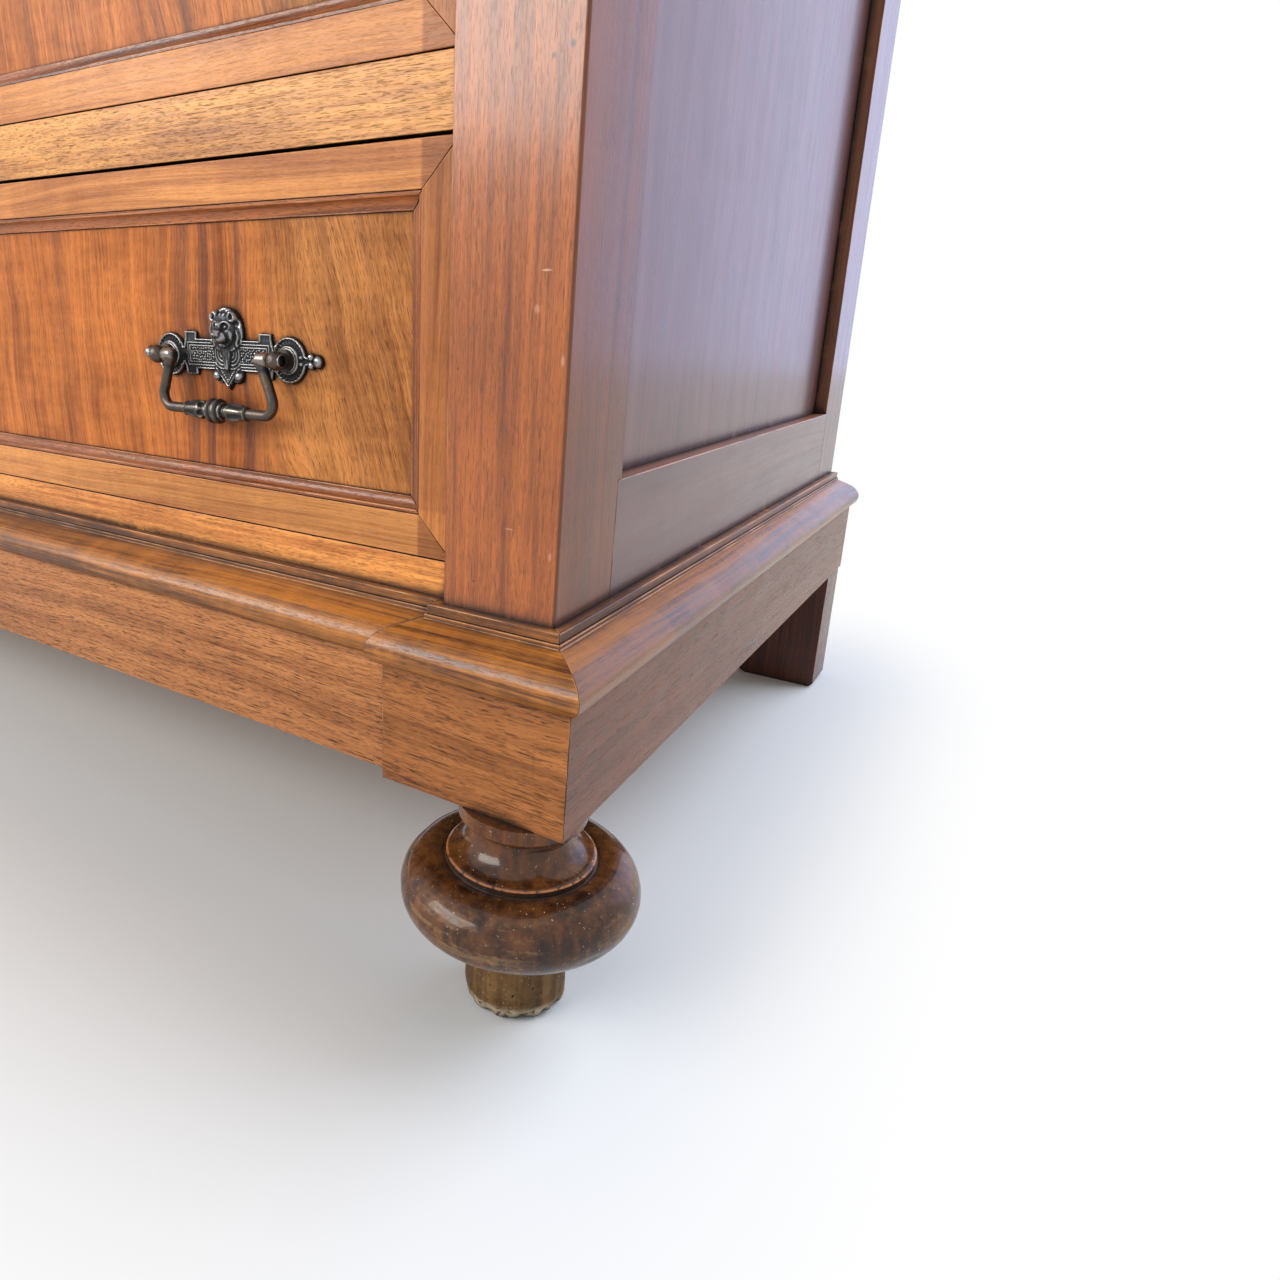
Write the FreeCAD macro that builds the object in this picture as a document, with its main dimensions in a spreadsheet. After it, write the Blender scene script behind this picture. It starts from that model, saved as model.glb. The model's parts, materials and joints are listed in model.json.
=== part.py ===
"""A walnut chest of three drawers on a moulded plinth, with turned front feet and cast bail handles.

The origin is on the floor, under the middle of the bounding box: X to the right, Y to the back,
Z up. Lengths are in millimetres. SIZES holds what can be set by itself, PLACES what follows from it.
"""
import FreeCAD
import Part
import Sketcher
import math
import os
import re

# Drawers are counted from the bottom; a rail lies under each one and over the last
DRAWERS = (1, 2, 3)
RAILS = range(len(DRAWERS) + 1)

SIZES = (
    ("overrun", 1),
    # Carcase
    ("carcase_width", 1060),
    ("carcase_depth", 544),
    ("post_width", 57),
    ("post_depth", 60),
    ("post_arris", 1.6),
    ("rear_post_width", 45),
    ("rear_post_depth", 59),
    ("break_depth", 7.5),
    ("side_rail_thickness", 24),
    ("side_top_rail_height", 56),
    ("side_bottom_rail_reveal", 56),
    ("side_bottom_rail_height", 110),
    ("shoulder_lap", 4),
    ("panel_thickness", 9),
    ("panel_setback", 10),
    ("groove_depth", 8),
    ("panel_gap", 1),
    ("glue_gap", 0.1),
    ("side_tenon_length", 18),
    ("tenon_shoulder", 8),
    # Front rails, one under each drawer and one over the top drawer
    ("rail_height", 29),
    ("rail_depth", 60),
    ("bottom_rail_reveal", 17),
    ("front_tenon_length", 20),
    ("front_tenon_thickness", 15),
    ("front_tenon_depth", 28),
    ("backing_thickness", 22),
    # Drawer runners, guides and stops
    ("runner_height", 24),
    ("runner_ledge", 24),
    ("guide_height", 18),
    ("stop_height", 5),
    ("stop_length", 45),
    ("stop_depth", 16),
    ("stop_offset", 300),
    # Back
    ("back_rail_thickness", 20),
    ("back_rail_height", 64),
    ("back_bottom_rail_height", 100),
    ("back_inset", 3),
    ("muntin_width", 70),
    ("back_panel_thickness", 8),
    # Top
    ("top_thickness", 24),
    ("top_overhang", 30),
    ("top_nose_radius", 11),
    ("top_under_radius", 5),
    # Plinth and base moulding
    ("plinth_height", 59),
    ("plinth_thickness", 20),
    ("moulding_height", 23),
    ("moulding_projection", 26),
    ("moulding_step", 6.5),
    ("moulding_step_height", 2.2),
    ("moulding_nose_height", 9.5),
    ("base_fillet_height", 4.5),
    ("base_fillet_projection", 5.5),
    # Turned front foot
    ("foot_height", 105),
    ("foot_axis_inset", 12.3),
    ("foot_axis_back", 3.5),
    ("peg_radius", 24.8),
    ("peg_height", 46),
    ("peg_chamfer", 2),
    ("bun_radius", 57),
    ("bun_height", 31),
    ("ring_radius", 35.5),
    ("ring_height", 2.6),
    ("neck_radius", 23.5),
    ("collar_radius", 30),
    ("collar_height", 9),
    ("collar_bead", 2.5),
    ("dowel_radius", 10),
    ("dowel_length", 34),
    ("dowel_gap", 0.2),
    # Rear foot
    ("rear_foot_width", 69),
    ("rear_foot_thickness", 43),
    ("rear_foot_inset", 9),
    ("rear_foot_corner", 7),
    ("rear_foot_chamfer", 3.5),
    # Drawers
    ("front_height", 178),
    ("front_gap_above", 1.5),
    ("front_gap_below", 0.5),
    ("front_gap_side", 0.8),
    ("frame_width", 19.5),
    ("frame_thickness", 5.5),
    ("strip_width", 7.5),
    ("strip_height", 4.6),
    ("board_thickness", 16),
    ("side_thickness", 12),
    ("side_drop", 4),
    ("drawer_length", 490),
    ("tail_length", 12),
    ("back_thickness", 12),
    ("back_drop", 12),
    ("back_inboard", 14),
    ("housing_depth", 4),
    ("bottom_thickness", 8),
    ("bottom_rise", 10),
    ("bottom_groove", 5),
    # Cast handles
    ("handle_inset", 204),
    ("handle_rise", 85.4),
    ("plate_half_length", 66),
    ("plate_rise", 24.6),
    ("plate_thickness", 2.2),
    ("wing_recess", 0.7),
    ("rosette_radius", 7.3),
    ("rosette_height", 1.5),
    ("head_half_width", 9.6),
    ("head_half_height", 10.4),
    ("head_relief", 5.4),
    ("ear_radius", 3),
    ("muzzle_radius", 4.2),
    ("muzzle_relief", 7.4),
    ("shield_half_width", 6.2),
    ("shield_half_height", 13),
    ("shield_relief", 4.4),
    ("post_spread", 88),
    ("pin_standoff", 10.8),
    ("post_base_radius", 5.4),
    ("post_base_height", 2.6),
    ("post_neck_radius", 4.2),
    ("bead_radius", 4.8),
    ("shank_radius", 2.3),
    ("shank_gap", 0.2),
    ("nut_radius", 6),
    ("nut_height", 4),
    ("shank_tip", 2.5),
    ("pin_radius", 1.9),
    ("pin_gap", 0.3),
    ("pin_recess", 1.4),
    ("bead_side_gap", 0.4),
    ("knuckle_radius", 3.6),
    ("knuckle_length", 5.6),
    ("bail_rod_radius", 2.7),
    ("bail_drop", 27.2),
    ("bail_half_width", 40.9),
    ("bail_corner_radius", 6.4),
    ("sheath_radius", 5),
    ("sheath_half_length", 23),
    ("grip_neck_radius", 3.2),
    ("grip_collar_radius", 6.5),
    ("grip_collar_half_length", 5),
)

PLACES = (
    ("side_face", "carcase_width / 2"),
    ("front_reach", "max(top_overhang; bun_radius - foot_axis_back)"),
    ("post_face", "(front_reach - carcase_depth) / 2"),
    ("back_face", "post_face + carcase_depth"),
    ("recess", "post_face + break_depth"),
    ("post_inner", "side_face - post_width"),
    ("post_rear", "post_face + post_depth"),
    ("rear_post_inner", "side_face - rear_post_width"),
    ("rear_post_front", "back_face - rear_post_depth"),
    ("side_inner", "side_face - side_rail_thickness"),
    ("panel_face", "side_face - panel_setback"),
    ("panel_inner", "panel_face - panel_thickness"),
    ("plinth_top", "foot_height + plinth_height"),
    ("moulding_top", "plinth_top + moulding_height"),
    ("base_line", "moulding_top + base_fillet_height"),
    ("first_floor", "base_line + bottom_rail_reveal"),
    ("opening_height", "front_gap_below + front_height + front_gap_above"),
    ("drawer_pitch", "opening_height + rail_height"),
    ("top_under", "first_floor + drawer_pitch * %d" % len(DRAWERS)),
    ("top_face", "top_under + top_thickness"),
    ("side_bottom_rail_top", "base_line + side_bottom_rail_reveal"),
    ("side_bottom_rail_low", "side_bottom_rail_top - side_bottom_rail_height"),
    ("side_top_rail_low", "top_under - side_top_rail_height"),
    ("rail_rear", "recess + rail_depth"),
    ("tenon_middle", "(recess + post_rear) / 2"),
    ("back_rail_face", "back_face - back_inset"),
    ("back_rail_front", "back_rail_face - back_rail_thickness"),
    ("back_panel_rear", "back_rail_face - (back_rail_thickness - back_panel_thickness) / 2"),
    ("back_panel_front", "back_panel_rear - back_panel_thickness"),
    ("back_bottom_rail_top", "foot_height + back_bottom_rail_height"),
    ("back_top_rail_low", "top_under - back_rail_height"),
    ("foot_axis_x", "side_face - foot_axis_inset"),
    ("foot_axis_y", "post_face + foot_axis_back"),
    ("field", "recess + frame_thickness"),
    ("board_rear", "field + board_thickness"),
    ("front_half", "post_inner - front_gap_side"),
    ("side_inside", "front_half - side_thickness"),
    ("side_height", "front_height - side_drop"),
    ("drawer_rear", "recess + drawer_length"),
    ("drawer_back_rear", "drawer_rear - back_inboard"),
    ("drawer_back_front", "drawer_back_rear - back_thickness"),
    ("handle_x", "side_face - handle_inset"),
    ("knuckle_end", "post_spread / 2 - bead_radius - bead_side_gap"),
    ("knuckle_x", "knuckle_end - knuckle_length"),
    ("pin_end", "post_spread / 2 + bead_radius - pin_recess"),
    ("arm_run", "bail_half_width - bail_corner_radius - knuckle_x"),
    ("arm_rise", "bail_drop - bail_corner_radius"),
    ("arm_lean", "atan(arm_run / arm_rise) + asin(bail_corner_radius / sqrt(arm_run ^ 2 + arm_rise ^ 2))"),
    ("shank_length", "board_thickness + nut_height + shank_tip"),
)

TAILS = 4

# Shares of a drawer side's height for one tail: half its width at the root and at the tip
TAIL_ROOT_SHARE = 0.075
TAIL_TIP_SHARE = 0.098

# Bulge of an arc: the tangent of a quarter of its turn, positive when it turns left
NOSE_UNDER_SHARE = 0.34
NOSE_OVER_SHARE = 0.22
THUMB_SHARE = 0.05
QUARTER_TURN_SHARE = math.tan(math.pi / 8)
HALF_TURN_SHARE = 1 - 1e-6
NECK_HOLLOW_SHARE = -0.45
STRIP_ROUND_SHARE = 0.36
FOOT_BEAD_SHARE = 0.44

# Corners of a field strip's section: shares of its width, from the frame, and of its height
STRIP_SHARES = ((0, 0), (1, 0), (1, 0.25), (0.25, 1), (0, 1))

# Height of the foot's thin ring above its own edge, and of the moulding's nose out from the
# board below: shares of the ring's height and of the nose's reach
RING_EDGE_SHARE = 0.33
NOSE_TURN_SHARE = 0.25

# The moulding's shoulder, where the thumbnail meets the nose: shares of projection and height
SHOULDER_SHARES = (0.7, 0.74)

# Right half of the handle plate, anticlockwise from the drop's tip to the crown of the head:
# shares of the half length and of the rise, and the bulge of the edge that follows
DROP_SHARES = (
    (0.0, -0.690, 0.0),
    (0.058, -0.520, 0.5),
    (0.167, -0.390, 0.35),
    (0.158, -0.285, 0.0),
)
LOWER_EAR_SHARES = (
    (0.356, -0.285, 0.0),
    (0.356, -0.407, 0.0),
    (0.486, -0.407, -0.15),
)
SHELL_SHARES = (
    (0.509, -0.179, 0.725),
    (0.833, -0.106, 0.0),
    (0.861, -0.081, 0.9),
    (0.915, -0.098, 0.652),
    (1.0, 0.0, 0.652),
    (0.915, 0.098, 0.9),
    (0.861, 0.081, 0.0),
    (0.833, 0.106, 0.725),
    (0.509, 0.179, -0.15),
)
UPPER_EAR_SHARES = (
    (0.486, 0.496, 0.0),
    (0.356, 0.496, 0.0),
    (0.356, 0.350, 0.0),
)
CROWN_SHARES = (
    (0.176, 0.350, 0.51),
    (0.0, 1.0, 0.0),
)

# The sunk field of a wing, as shares of the half length and of the rise
WING_FIELD_SHARES = ((0.13, -0.12), (0.43, -0.12), (0.43, 0.19), (0.13, 0.19))

# Heights of the forms on the plate above its pin axis, and the ears' places: shares of the rise
HEAD_SHARE = 0.53
MUZZLE_SHARE = 0.38
SHIELD_SHARE = -0.08
EAR_SHARES = (0.33, 0.80)

# Along the grip, out from its middle: shares of the sheath's half length and radius,
# then of the collar's half length and radius
LEAF_SHARES = ((0.62, 1.0), (0.42, 0.92))
COLLAR_SHARES = ((1.0, 0.86), (0.5, 0.86), (0.5, 1.0))
GRIP_NECK_SHARE = 1.5

DOC = FreeCAD.newDocument("chest_of_drawers")
NODES = []
HOME = {name: "Sizes." for name, _ in SIZES}
HOME.update({name: "Places." for name, _ in PLACES})
WORD = re.compile(r"[a-z][a-z_0-9]*")


def fill_sheet(title, rows):
    """Write one sheet: a name and a number, or a formula on cells, in each row."""
    sheet = DOC.addObject("Spreadsheet::Sheet", title)
    for row, (name, entry) in enumerate(rows, 1):
        formula = isinstance(entry, str)
        sheet.set("A%d" % row, name)
        sheet.set("B%d" % row, "=" + ex(entry).replace(title + ".", "") if formula else str(entry))
        sheet.setAlias("B%d" % row, name)
    DOC.recompute()


def ex(text):
    """The text as an expression on the sheets' cells."""
    return WORD.sub(lambda found: HOME.get(found.group(0), "") + found.group(0), text)


def number(text):
    """The present value of an expression."""
    return float(DOC.Sizes.evalExpression(ex(text)))


def bind(thing, **properties):
    """Bind properties to expressions; Base_x stands for Placement.Base.x."""
    for name, text in properties.items():
        thing.setExpression(name.replace("Base_", "Placement.Base."), ex(text))
    return thing


# Solids

def piece(name):
    """An empty body for one wooden or cast piece."""
    return DOC.addObject("PartDesign::Body", name)


def block(body, x, y, z, kind="Additive"):
    """Add or cut a box between the given pairs of places."""
    box = body.newObject("PartDesign::%sBox" % kind, body.Name + "_box")
    bind(box, Base_x=x[0], Base_y=y[0], Base_z=z[0])
    bind(box, **{side: "(%s) - (%s)" % (span[1], span[0])
                 for side, span in zip(("Length", "Width", "Height"), (x, y, z))})
    DOC.recompute()
    return body


def cut(body, x, y, z):
    """Cut a box between the given pairs of places."""
    return block(body, x, y, z, "Subtractive")


def board(name, x, y, z):
    """A plain board between the given pairs of places."""
    return block(piece(name), x, y, z)


def bore(body, x, y, low, high, radius):
    """Bore an upright round hole."""
    hole = body.newObject("PartDesign::SubtractiveCylinder", body.Name + "_bore")
    bind(hole, Base_x=x, Base_y=y, Base_z=low, Radius=radius, Height="(%s) - (%s)" % (high, low))
    DOC.recompute()
    return body


def held(edge, spot, along, text):
    """A constraint, and its expression, that holds one point of an edge along the sketch's X or Y."""
    if text == "0":
        return Sketcher.Constraint("PointOnObject", edge, spot, -2 if along == "X" else -1), None
    return Sketcher.Constraint("Distance" + along, -1, 1, edge, spot, number(text)), ex(text)


def arc_between(sketch, start, end, bulge):
    """Draw an arc; its centre is off the chord's middle by a share of the chord."""
    reach = (1 - bulge ** 2) / (4 * bulge)
    centre_x = "((%s) + (%s)) / 2 - %.6f * ((%s) - (%s))" % (start[0], end[0], reach, end[1], start[1])
    centre_y = "((%s) + (%s)) / 2 + %.6f * ((%s) - (%s))" % (start[1], end[1], reach, end[0], start[0])
    x1, y1, x2, y2, cx, cy = map(number, (*start, *end, centre_x, centre_y))
    first, last = math.atan2(y1 - cy, x1 - cx), math.atan2(y2 - cy, x2 - cx)
    if bulge < 0:
        first, last = last, first
    circle = Part.Circle(FreeCAD.Vector(cx, cy, 0), FreeCAD.Vector(0, 0, 1), math.hypot(x1 - cx, y1 - cy))
    edge = sketch.addGeometry(Part.ArcOfCircle(circle, first, last), False)
    upright = abs(y2 - y1) > abs(x2 - x1)
    centre = held(edge, 3, *(("X", centre_x) if upright else ("Y", centre_y)))
    return edge, (1, 2) if bulge > 0 else (2, 1), [centre]


def line_between(sketch, start, end):
    ends = [FreeCAD.Vector(number(spot[0]), number(spot[1]), 0) for spot in (start, end)]
    return sketch.addGeometry(Part.LineSegment(*ends), False), (1, 2), []


def origin_plane(body, plane):
    return next(face for face in body.Origin.OriginFeatures if face.Role == plane + "_Plane")


def outline(body, name, plane, loops, lift="0", rise="0", closed=True):
    """Sketch loops of (x, y) or (x, y, bulge) points on one of the body's own planes."""
    sketch = body.newObject("Sketcher::SketchObject", body.Name + "_" + name)
    sketch.AttachmentSupport = (origin_plane(body, plane), [""])
    sketch.MapMode = "FlatFace"
    bind(sketch, **{"AttachmentOffset.Base.z": lift, "AttachmentOffset.Base.y": rise})
    holds = []
    for points in loops:
        count = len(points) if closed else len(points) - 1
        edges = []
        for index in range(count):
            start, end = points[index], points[(index + 1) % len(points)]
            if len(start) > 2 and start[2]:
                edges.append(arc_between(sketch, start[:2], end[:2], start[2]))
            else:
                edges.append(line_between(sketch, start, end))
        for index, (edge, spots, centre) in enumerate(edges):
            holds += centre
            holds += [held(edge, spots[0], along, points[index][axis]) for axis, along in enumerate("XY")]
            if closed or index < count - 1:
                after, after_spots, _ = edges[(index + 1) % count]
                holds.append((Sketcher.Constraint("Coincident", edge, spots[1], after, after_spots[0]), None))
            else:
                holds += [held(edge, spots[1], along, points[-1][axis]) for axis, along in enumerate("XY")]
    rows = sketch.addConstraint([constraint for constraint, _ in holds])
    for row, (_, expression) in zip(rows, holds):
        if expression:
            sketch.setExpression("Constraints[%d]" % row, expression)
    DOC.recompute()
    return sketch


def pad(body, plane, points, low, high, kind="Pad"):
    """Pad or pocket an outline between two places along the plane's normal."""
    turned = plane == "XZ"
    start, end = ("-(%s)" % high, "-(%s)" % low) if turned else (low, high)
    lift = start if kind == "Pad" else end
    loops = points if isinstance(points[0][0], tuple) else [points]
    feature = body.newObject("PartDesign::" + kind, body.Name + "_" + kind.lower())
    feature.Profile = outline(body, "outline", plane, loops, lift)
    bind(feature, Length="(%s) - (%s)" % (end, start))
    DOC.recompute()
    return body


def turn(body, plane, points, axis, rise="0"):
    """Turn an outline a full circle about a sketch axis."""
    feature = body.newObject("PartDesign::Revolution", body.Name + "_turned")
    sketch = outline(body, "profile", plane, [points], rise=rise)
    feature.Profile = sketch
    feature.ReferenceAxis = (sketch, [axis])
    DOC.recompute()
    return body


def mirrored(name, source):
    """The left-hand twin of a right-hand piece."""
    twin = DOC.addObject("Part::Mirroring", name)
    twin.Source = source
    twin.Normal = FreeCAD.Vector(1, 0, 0)
    return twin


def common(name, bar, wedge):
    """What a bar and a mitre wedge share."""
    shared = DOC.addObject("Part::Common", name)
    shared.Base, shared.Tool = bar, wedge
    return shared


def node(name, *pieces):
    """Keep one piece, or a group of separate pieces, as a named part."""
    if len(pieces) == 1:
        kept = pieces[0]
    else:
        kept = DOC.addObject("Part::Compound", name)
        kept.Links = list(pieces)
    kept.Label = name
    NODES.append(kept)
    return kept


def both(name, right):
    """Keep a right-hand piece and its left-hand twin in one part."""
    return node(name, right, mirrored(name + "_twin", right))


# Carcase

def rail_top(level):
    """Upper face of a front rail, counted from the bottom."""
    return "first_floor + drawer_pitch * %d" % level


def tenon_span(middle, thickness, gap="0"):
    """A span about a middle, widened by a gap."""
    return ("%s - %s / 2 - %s" % (middle, thickness, gap), "%s + %s / 2 + %s" % (middle, thickness, gap))


def front_tenon_heights(level, gap="0"):
    middle = "%s - rail_height / 2" % rail_top(level)
    return tenon_span(middle, "front_tenon_thickness", gap)


def front_posts():
    """Corner posts with mortises for the rails, a panel groove and rebates for the rails' lapped ends."""
    post = board("front_post_right", ("post_inner", "side_face"), ("post_face", "post_rear"),
                 ("foot_height", "top_under"))
    rounded(post, "post_arris", [("side_face", "post_face", "(foot_height + top_under) / 2")])
    for level in RAILS:
        cut(post, ("post_inner - overrun", "post_inner + front_tenon_length + glue_gap"),
            tenon_span("tenon_middle", "front_tenon_depth", "glue_gap"),
            front_tenon_heights(level, "glue_gap"))
    side_joints(post, "post_rear - side_tenon_length - glue_gap", "post_rear + overrun",
                "post_rear - groove_depth", "post_rear + overrun",
                "post_rear - shoulder_lap", "post_rear + overrun")
    bore(post, "foot_axis_x", "foot_axis_y", "foot_height - overrun",
         "foot_height + dowel_length + dowel_gap", "dowel_radius + dowel_gap")
    node("front_post_right", post)
    node("front_post_left", mirrored("front_post_left", post))


def side_joints(post, tenon_from, tenon_to, groove_from, groove_to, lap_from, lap_to):
    """Cut the mortises, panel groove and lap rebates for the side frame in a post."""
    across = ("panel_inner - glue_gap", "panel_face + glue_gap")
    lap = ("panel_face", "side_face + overrun")
    for low, high in (side_rail_heights("bottom"), side_rail_heights("top")):
        cut(post, across, (tenon_from, tenon_to),
            ("%s + tenon_shoulder - glue_gap" % low, "%s - tenon_shoulder + glue_gap" % high))
        cut(post, lap, (lap_from, lap_to), (low, high))
    cut(post, across, (groove_from, groove_to),
        ("side_bottom_rail_top - groove_depth", "side_top_rail_low + groove_depth"))


def side_rail_heights(which):
    if which == "top":
        return "side_top_rail_low", "top_under"
    return "side_bottom_rail_low", "side_bottom_rail_top"


def rear_posts():
    """Rear posts, grooved for the side panel and for the back frame."""
    post = board("rear_post_right", ("rear_post_inner", "side_face"), ("rear_post_front", "back_face"),
                 ("foot_height", "top_under"))
    side_joints(post, "rear_post_front - overrun", "rear_post_front + side_tenon_length + glue_gap",
                "rear_post_front - overrun", "rear_post_front + groove_depth",
                "rear_post_front - overrun", "rear_post_front + shoulder_lap")
    cut(post, ("rear_post_inner - overrun", "rear_post_inner + groove_depth"),
        ("back_panel_front - glue_gap", "back_panel_rear + glue_gap"), ("foot_height", "top_under"))
    both("rear_posts", post)


def side_rails():
    """Side rails, tenoned into the posts, with a groove for the panel and lapped face ends."""
    rails = []
    for which in ("bottom", "top"):
        low, high = side_rail_heights(which)
        rail = board("side_%s_rail" % which, ("side_inner", "side_face"), ("post_rear", "rear_post_front"),
                     (low, high))
        block(rail, ("panel_inner", "panel_face"),
              ("post_rear - side_tenon_length", "rear_post_front + side_tenon_length"),
              ("%s + tenon_shoulder" % low, "%s - tenon_shoulder" % high))
        block(rail, ("panel_face", "side_face"),
              ("post_rear - shoulder_lap", "rear_post_front + shoulder_lap"), (low, high))
        edge = ("%s - groove_depth" % high, "%s + overrun" % high)
        if which == "top":
            edge = ("%s - overrun" % low, "%s + groove_depth" % low)
        cut(rail, ("panel_inner - glue_gap", "panel_face + glue_gap"),
            ("post_rear - side_tenon_length - overrun", "rear_post_front + side_tenon_length + overrun"), edge)
        rails += [rail, mirrored(rail.Name + "_twin", rail)]
    node("side_rails", *rails)


def side_panels():
    """Plain panels that float in the side frames' grooves."""
    panel = board("side_panel_right", ("panel_inner", "panel_face"),
                  ("post_rear - groove_depth + panel_gap", "rear_post_front + groove_depth - panel_gap"),
                  ("side_bottom_rail_top - groove_depth + panel_gap",
                   "side_top_rail_low + groove_depth - panel_gap"))
    node("side_panel_right", panel)
    node("side_panel_left", mirrored("side_panel_left", panel))


def front_rails():
    """Four rails between the front posts, tenoned at both ends, and the rail that backs the plinth."""
    rails = []
    for level in RAILS:
        top = rail_top(level)
        rail = board("front_rail_%d" % level, ("-post_inner", "post_inner"), ("recess", "rail_rear"),
                     ("%s - rail_height" % top, top))
        block(rail, ("-post_inner - front_tenon_length", "post_inner + front_tenon_length"),
              tenon_span("tenon_middle", "front_tenon_depth"), front_tenon_heights(level))
        rails.append(rail)
    node("front_rails", *rails)
    node("plinth_backing_rail", board("plinth_backing_rail", ("-post_inner", "post_inner"),
         ("recess", "recess + backing_thickness"), ("foot_height", "first_floor - rail_height")))


def drawer_supports():
    """Runners between the front rails and rear posts, guides on them, and stops on the rails."""
    runners, guides, stops = [], [], []
    for level in RAILS[:-1]:
        top = rail_top(level)
        runners.append(board("runner_%d" % level, ("post_inner - runner_ledge", "side_inner"),
                             ("rail_rear", "rear_post_front"), ("%s - runner_height" % top, top)))
        guides.append(board("guide_%d" % level, ("post_inner", "side_inner"),
                            ("rail_rear", "rear_post_front"), (top, "%s + guide_height" % top)))
        stops.append(board("stop_%d" % level, tenon_span("stop_offset", "stop_length"),
                           ("board_rear + front_gap_below", "board_rear + front_gap_below + stop_depth"),
                           (top, "%s + stop_height" % top)))
    for name, rights in (("drawer_runners", runners), ("drawer_guides", guides), ("drawer_stops", stops)):
        node(name, *rights, *[mirrored(right.Name + "_twin", right) for right in rights])


def back():
    """A framed back: two rails and a muntin, grooved round two thin panels."""
    slot = ("back_panel_front - glue_gap", "back_panel_rear + glue_gap")
    tongue = ("back_panel_front", "back_panel_rear")
    across = ("-rear_post_inner", "rear_post_inner")
    wider = ("-rear_post_inner - groove_depth + glue_gap", "rear_post_inner + groove_depth - glue_gap")
    depth = ("back_rail_front", "back_rail_face")
    low = board("back_bottom_rail", across, depth, ("foot_height", "back_bottom_rail_top"))
    block(low, wider, tongue, ("foot_height", "back_bottom_rail_top"))
    cut(low, wider, slot, ("back_bottom_rail_top - groove_depth", "back_bottom_rail_top + overrun"))
    high = board("back_top_rail", across, depth, ("back_top_rail_low", "top_under"))
    block(high, wider, tongue, ("back_top_rail_low", "top_under"))
    cut(high, wider, slot, ("back_top_rail_low - overrun", "back_top_rail_low + groove_depth"))
    muntin = board("back_muntin", ("-muntin_width / 2", "muntin_width / 2"), depth,
                   ("back_bottom_rail_top", "back_top_rail_low"))
    block(muntin, ("-muntin_width / 2", "muntin_width / 2"), tongue,
          ("back_bottom_rail_top - groove_depth + glue_gap", "back_top_rail_low + groove_depth - glue_gap"))
    for side in ("", "-"):
        edges = ["%s(muntin_width / 2 %s)" % (side, shift) for shift in ("- groove_depth", "+ overrun")]
        cut(muntin, tuple(reversed(edges)) if side else tuple(edges), slot,
            ("back_bottom_rail_top - groove_depth", "back_top_rail_low + groove_depth"))
    node("back_rails", low, high, muntin)
    panel = board("back_panel", ("muntin_width / 2 - groove_depth + panel_gap",
                                 "rear_post_inner + groove_depth - panel_gap"),
                  ("back_panel_front", "back_panel_rear"),
                  ("back_bottom_rail_top - groove_depth + panel_gap",
                   "back_top_rail_low + groove_depth - panel_gap"))
    both("back_panels", panel)


def top():
    """The top board, with a thumbnail edge at the front and both ends."""
    body = board("top_board", ("-side_face - top_overhang", "side_face + top_overhang"),
                 ("post_face - top_overhang", "back_face"), ("top_under", "top_face"))
    for level, radius in (("top_face", "top_nose_radius"), ("top_under", "top_under_radius")):
        end_middle = ("(post_face - top_overhang + back_face) / 2", level)
        rounded(body, radius, [("0", "post_face - top_overhang", level),
                               ("side_face + top_overhang",) + end_middle,
                               ("-side_face - top_overhang",) + end_middle])
    node("top_board", body)


def rounded(body, radius, middles):
    """Round the edges that pass through the given points."""
    base = body.Tip
    names = []
    for middle in middles:
        spot = Part.Vertex(*map(number, middle))
        gaps = [edge.distToShape(spot)[0] for edge in base.Shape.Edges]
        names.append("Edge%d" % (gaps.index(min(gaps)) + 1))
    rounding = body.newObject("PartDesign::Fillet", body.Name + "_rounding")
    rounding.Base = (base, names)
    bind(rounding, Radius=radius)
    DOC.recompute()


# Plinth

def plinth():
    """Plinth boards: a set-back front, corner blocks notched round the posts, and mitred sides."""
    height = ("foot_height", "plinth_top")
    inner = "post_inner - plinth_thickness"
    node("plinth_front_board", board("plinth_front_board", ("-(%s)" % inner, inner),
                                     ("recess - plinth_thickness", "recess"), height))
    corner = pad(piece("plinth_corner_block"), "XY", (
        (inner, "recess"),
        (inner, "post_face - plinth_thickness"),
        ("side_face + plinth_thickness", "post_face - plinth_thickness"),
        ("side_face", "post_face"),
        ("post_inner", "post_face"),
        ("post_inner", "recess"),
    ), *height)
    side = pad(piece("plinth_side_board"), "XY", (
        ("side_face", "post_face"),
        ("side_face + plinth_thickness", "post_face - plinth_thickness"),
        ("side_face + plinth_thickness", "back_face"),
        ("side_face", "back_face"),
    ), *height)
    bore(corner, "foot_axis_x", "foot_axis_y", "foot_height - overrun",
         "foot_height + dowel_length + dowel_gap", "dowel_radius + dowel_gap")
    both("plinth_corner_blocks", corner)
    both("plinth_side_boards", side)


def moulding_section(from_face, outward):
    """Thumbnail section: places across (from a face, outward) and up, with a step on top."""
    def across(projection):
        return "%s %s (%s)" % (from_face, outward, projection)
    flip = 1 if outward == "+" else -1
    return (
        (across("0"), "plinth_top"),
        (across("plinth_thickness + (moulding_projection - plinth_thickness) * %g" % NOSE_TURN_SHARE),
         "plinth_top", flip * NOSE_UNDER_SHARE),
        (across("moulding_projection"), "plinth_top + moulding_nose_height", flip * NOSE_OVER_SHARE),
        (across("moulding_projection * %.2f" % SHOULDER_SHARES[0]),
         "plinth_top + moulding_height * %.2f" % SHOULDER_SHARES[1], flip * THUMB_SHARE),
        (across("moulding_step"), "moulding_top - moulding_step_height"),
        (across("moulding_step"), "moulding_top"),
        (across("0"), "moulding_top"),
    )


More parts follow.
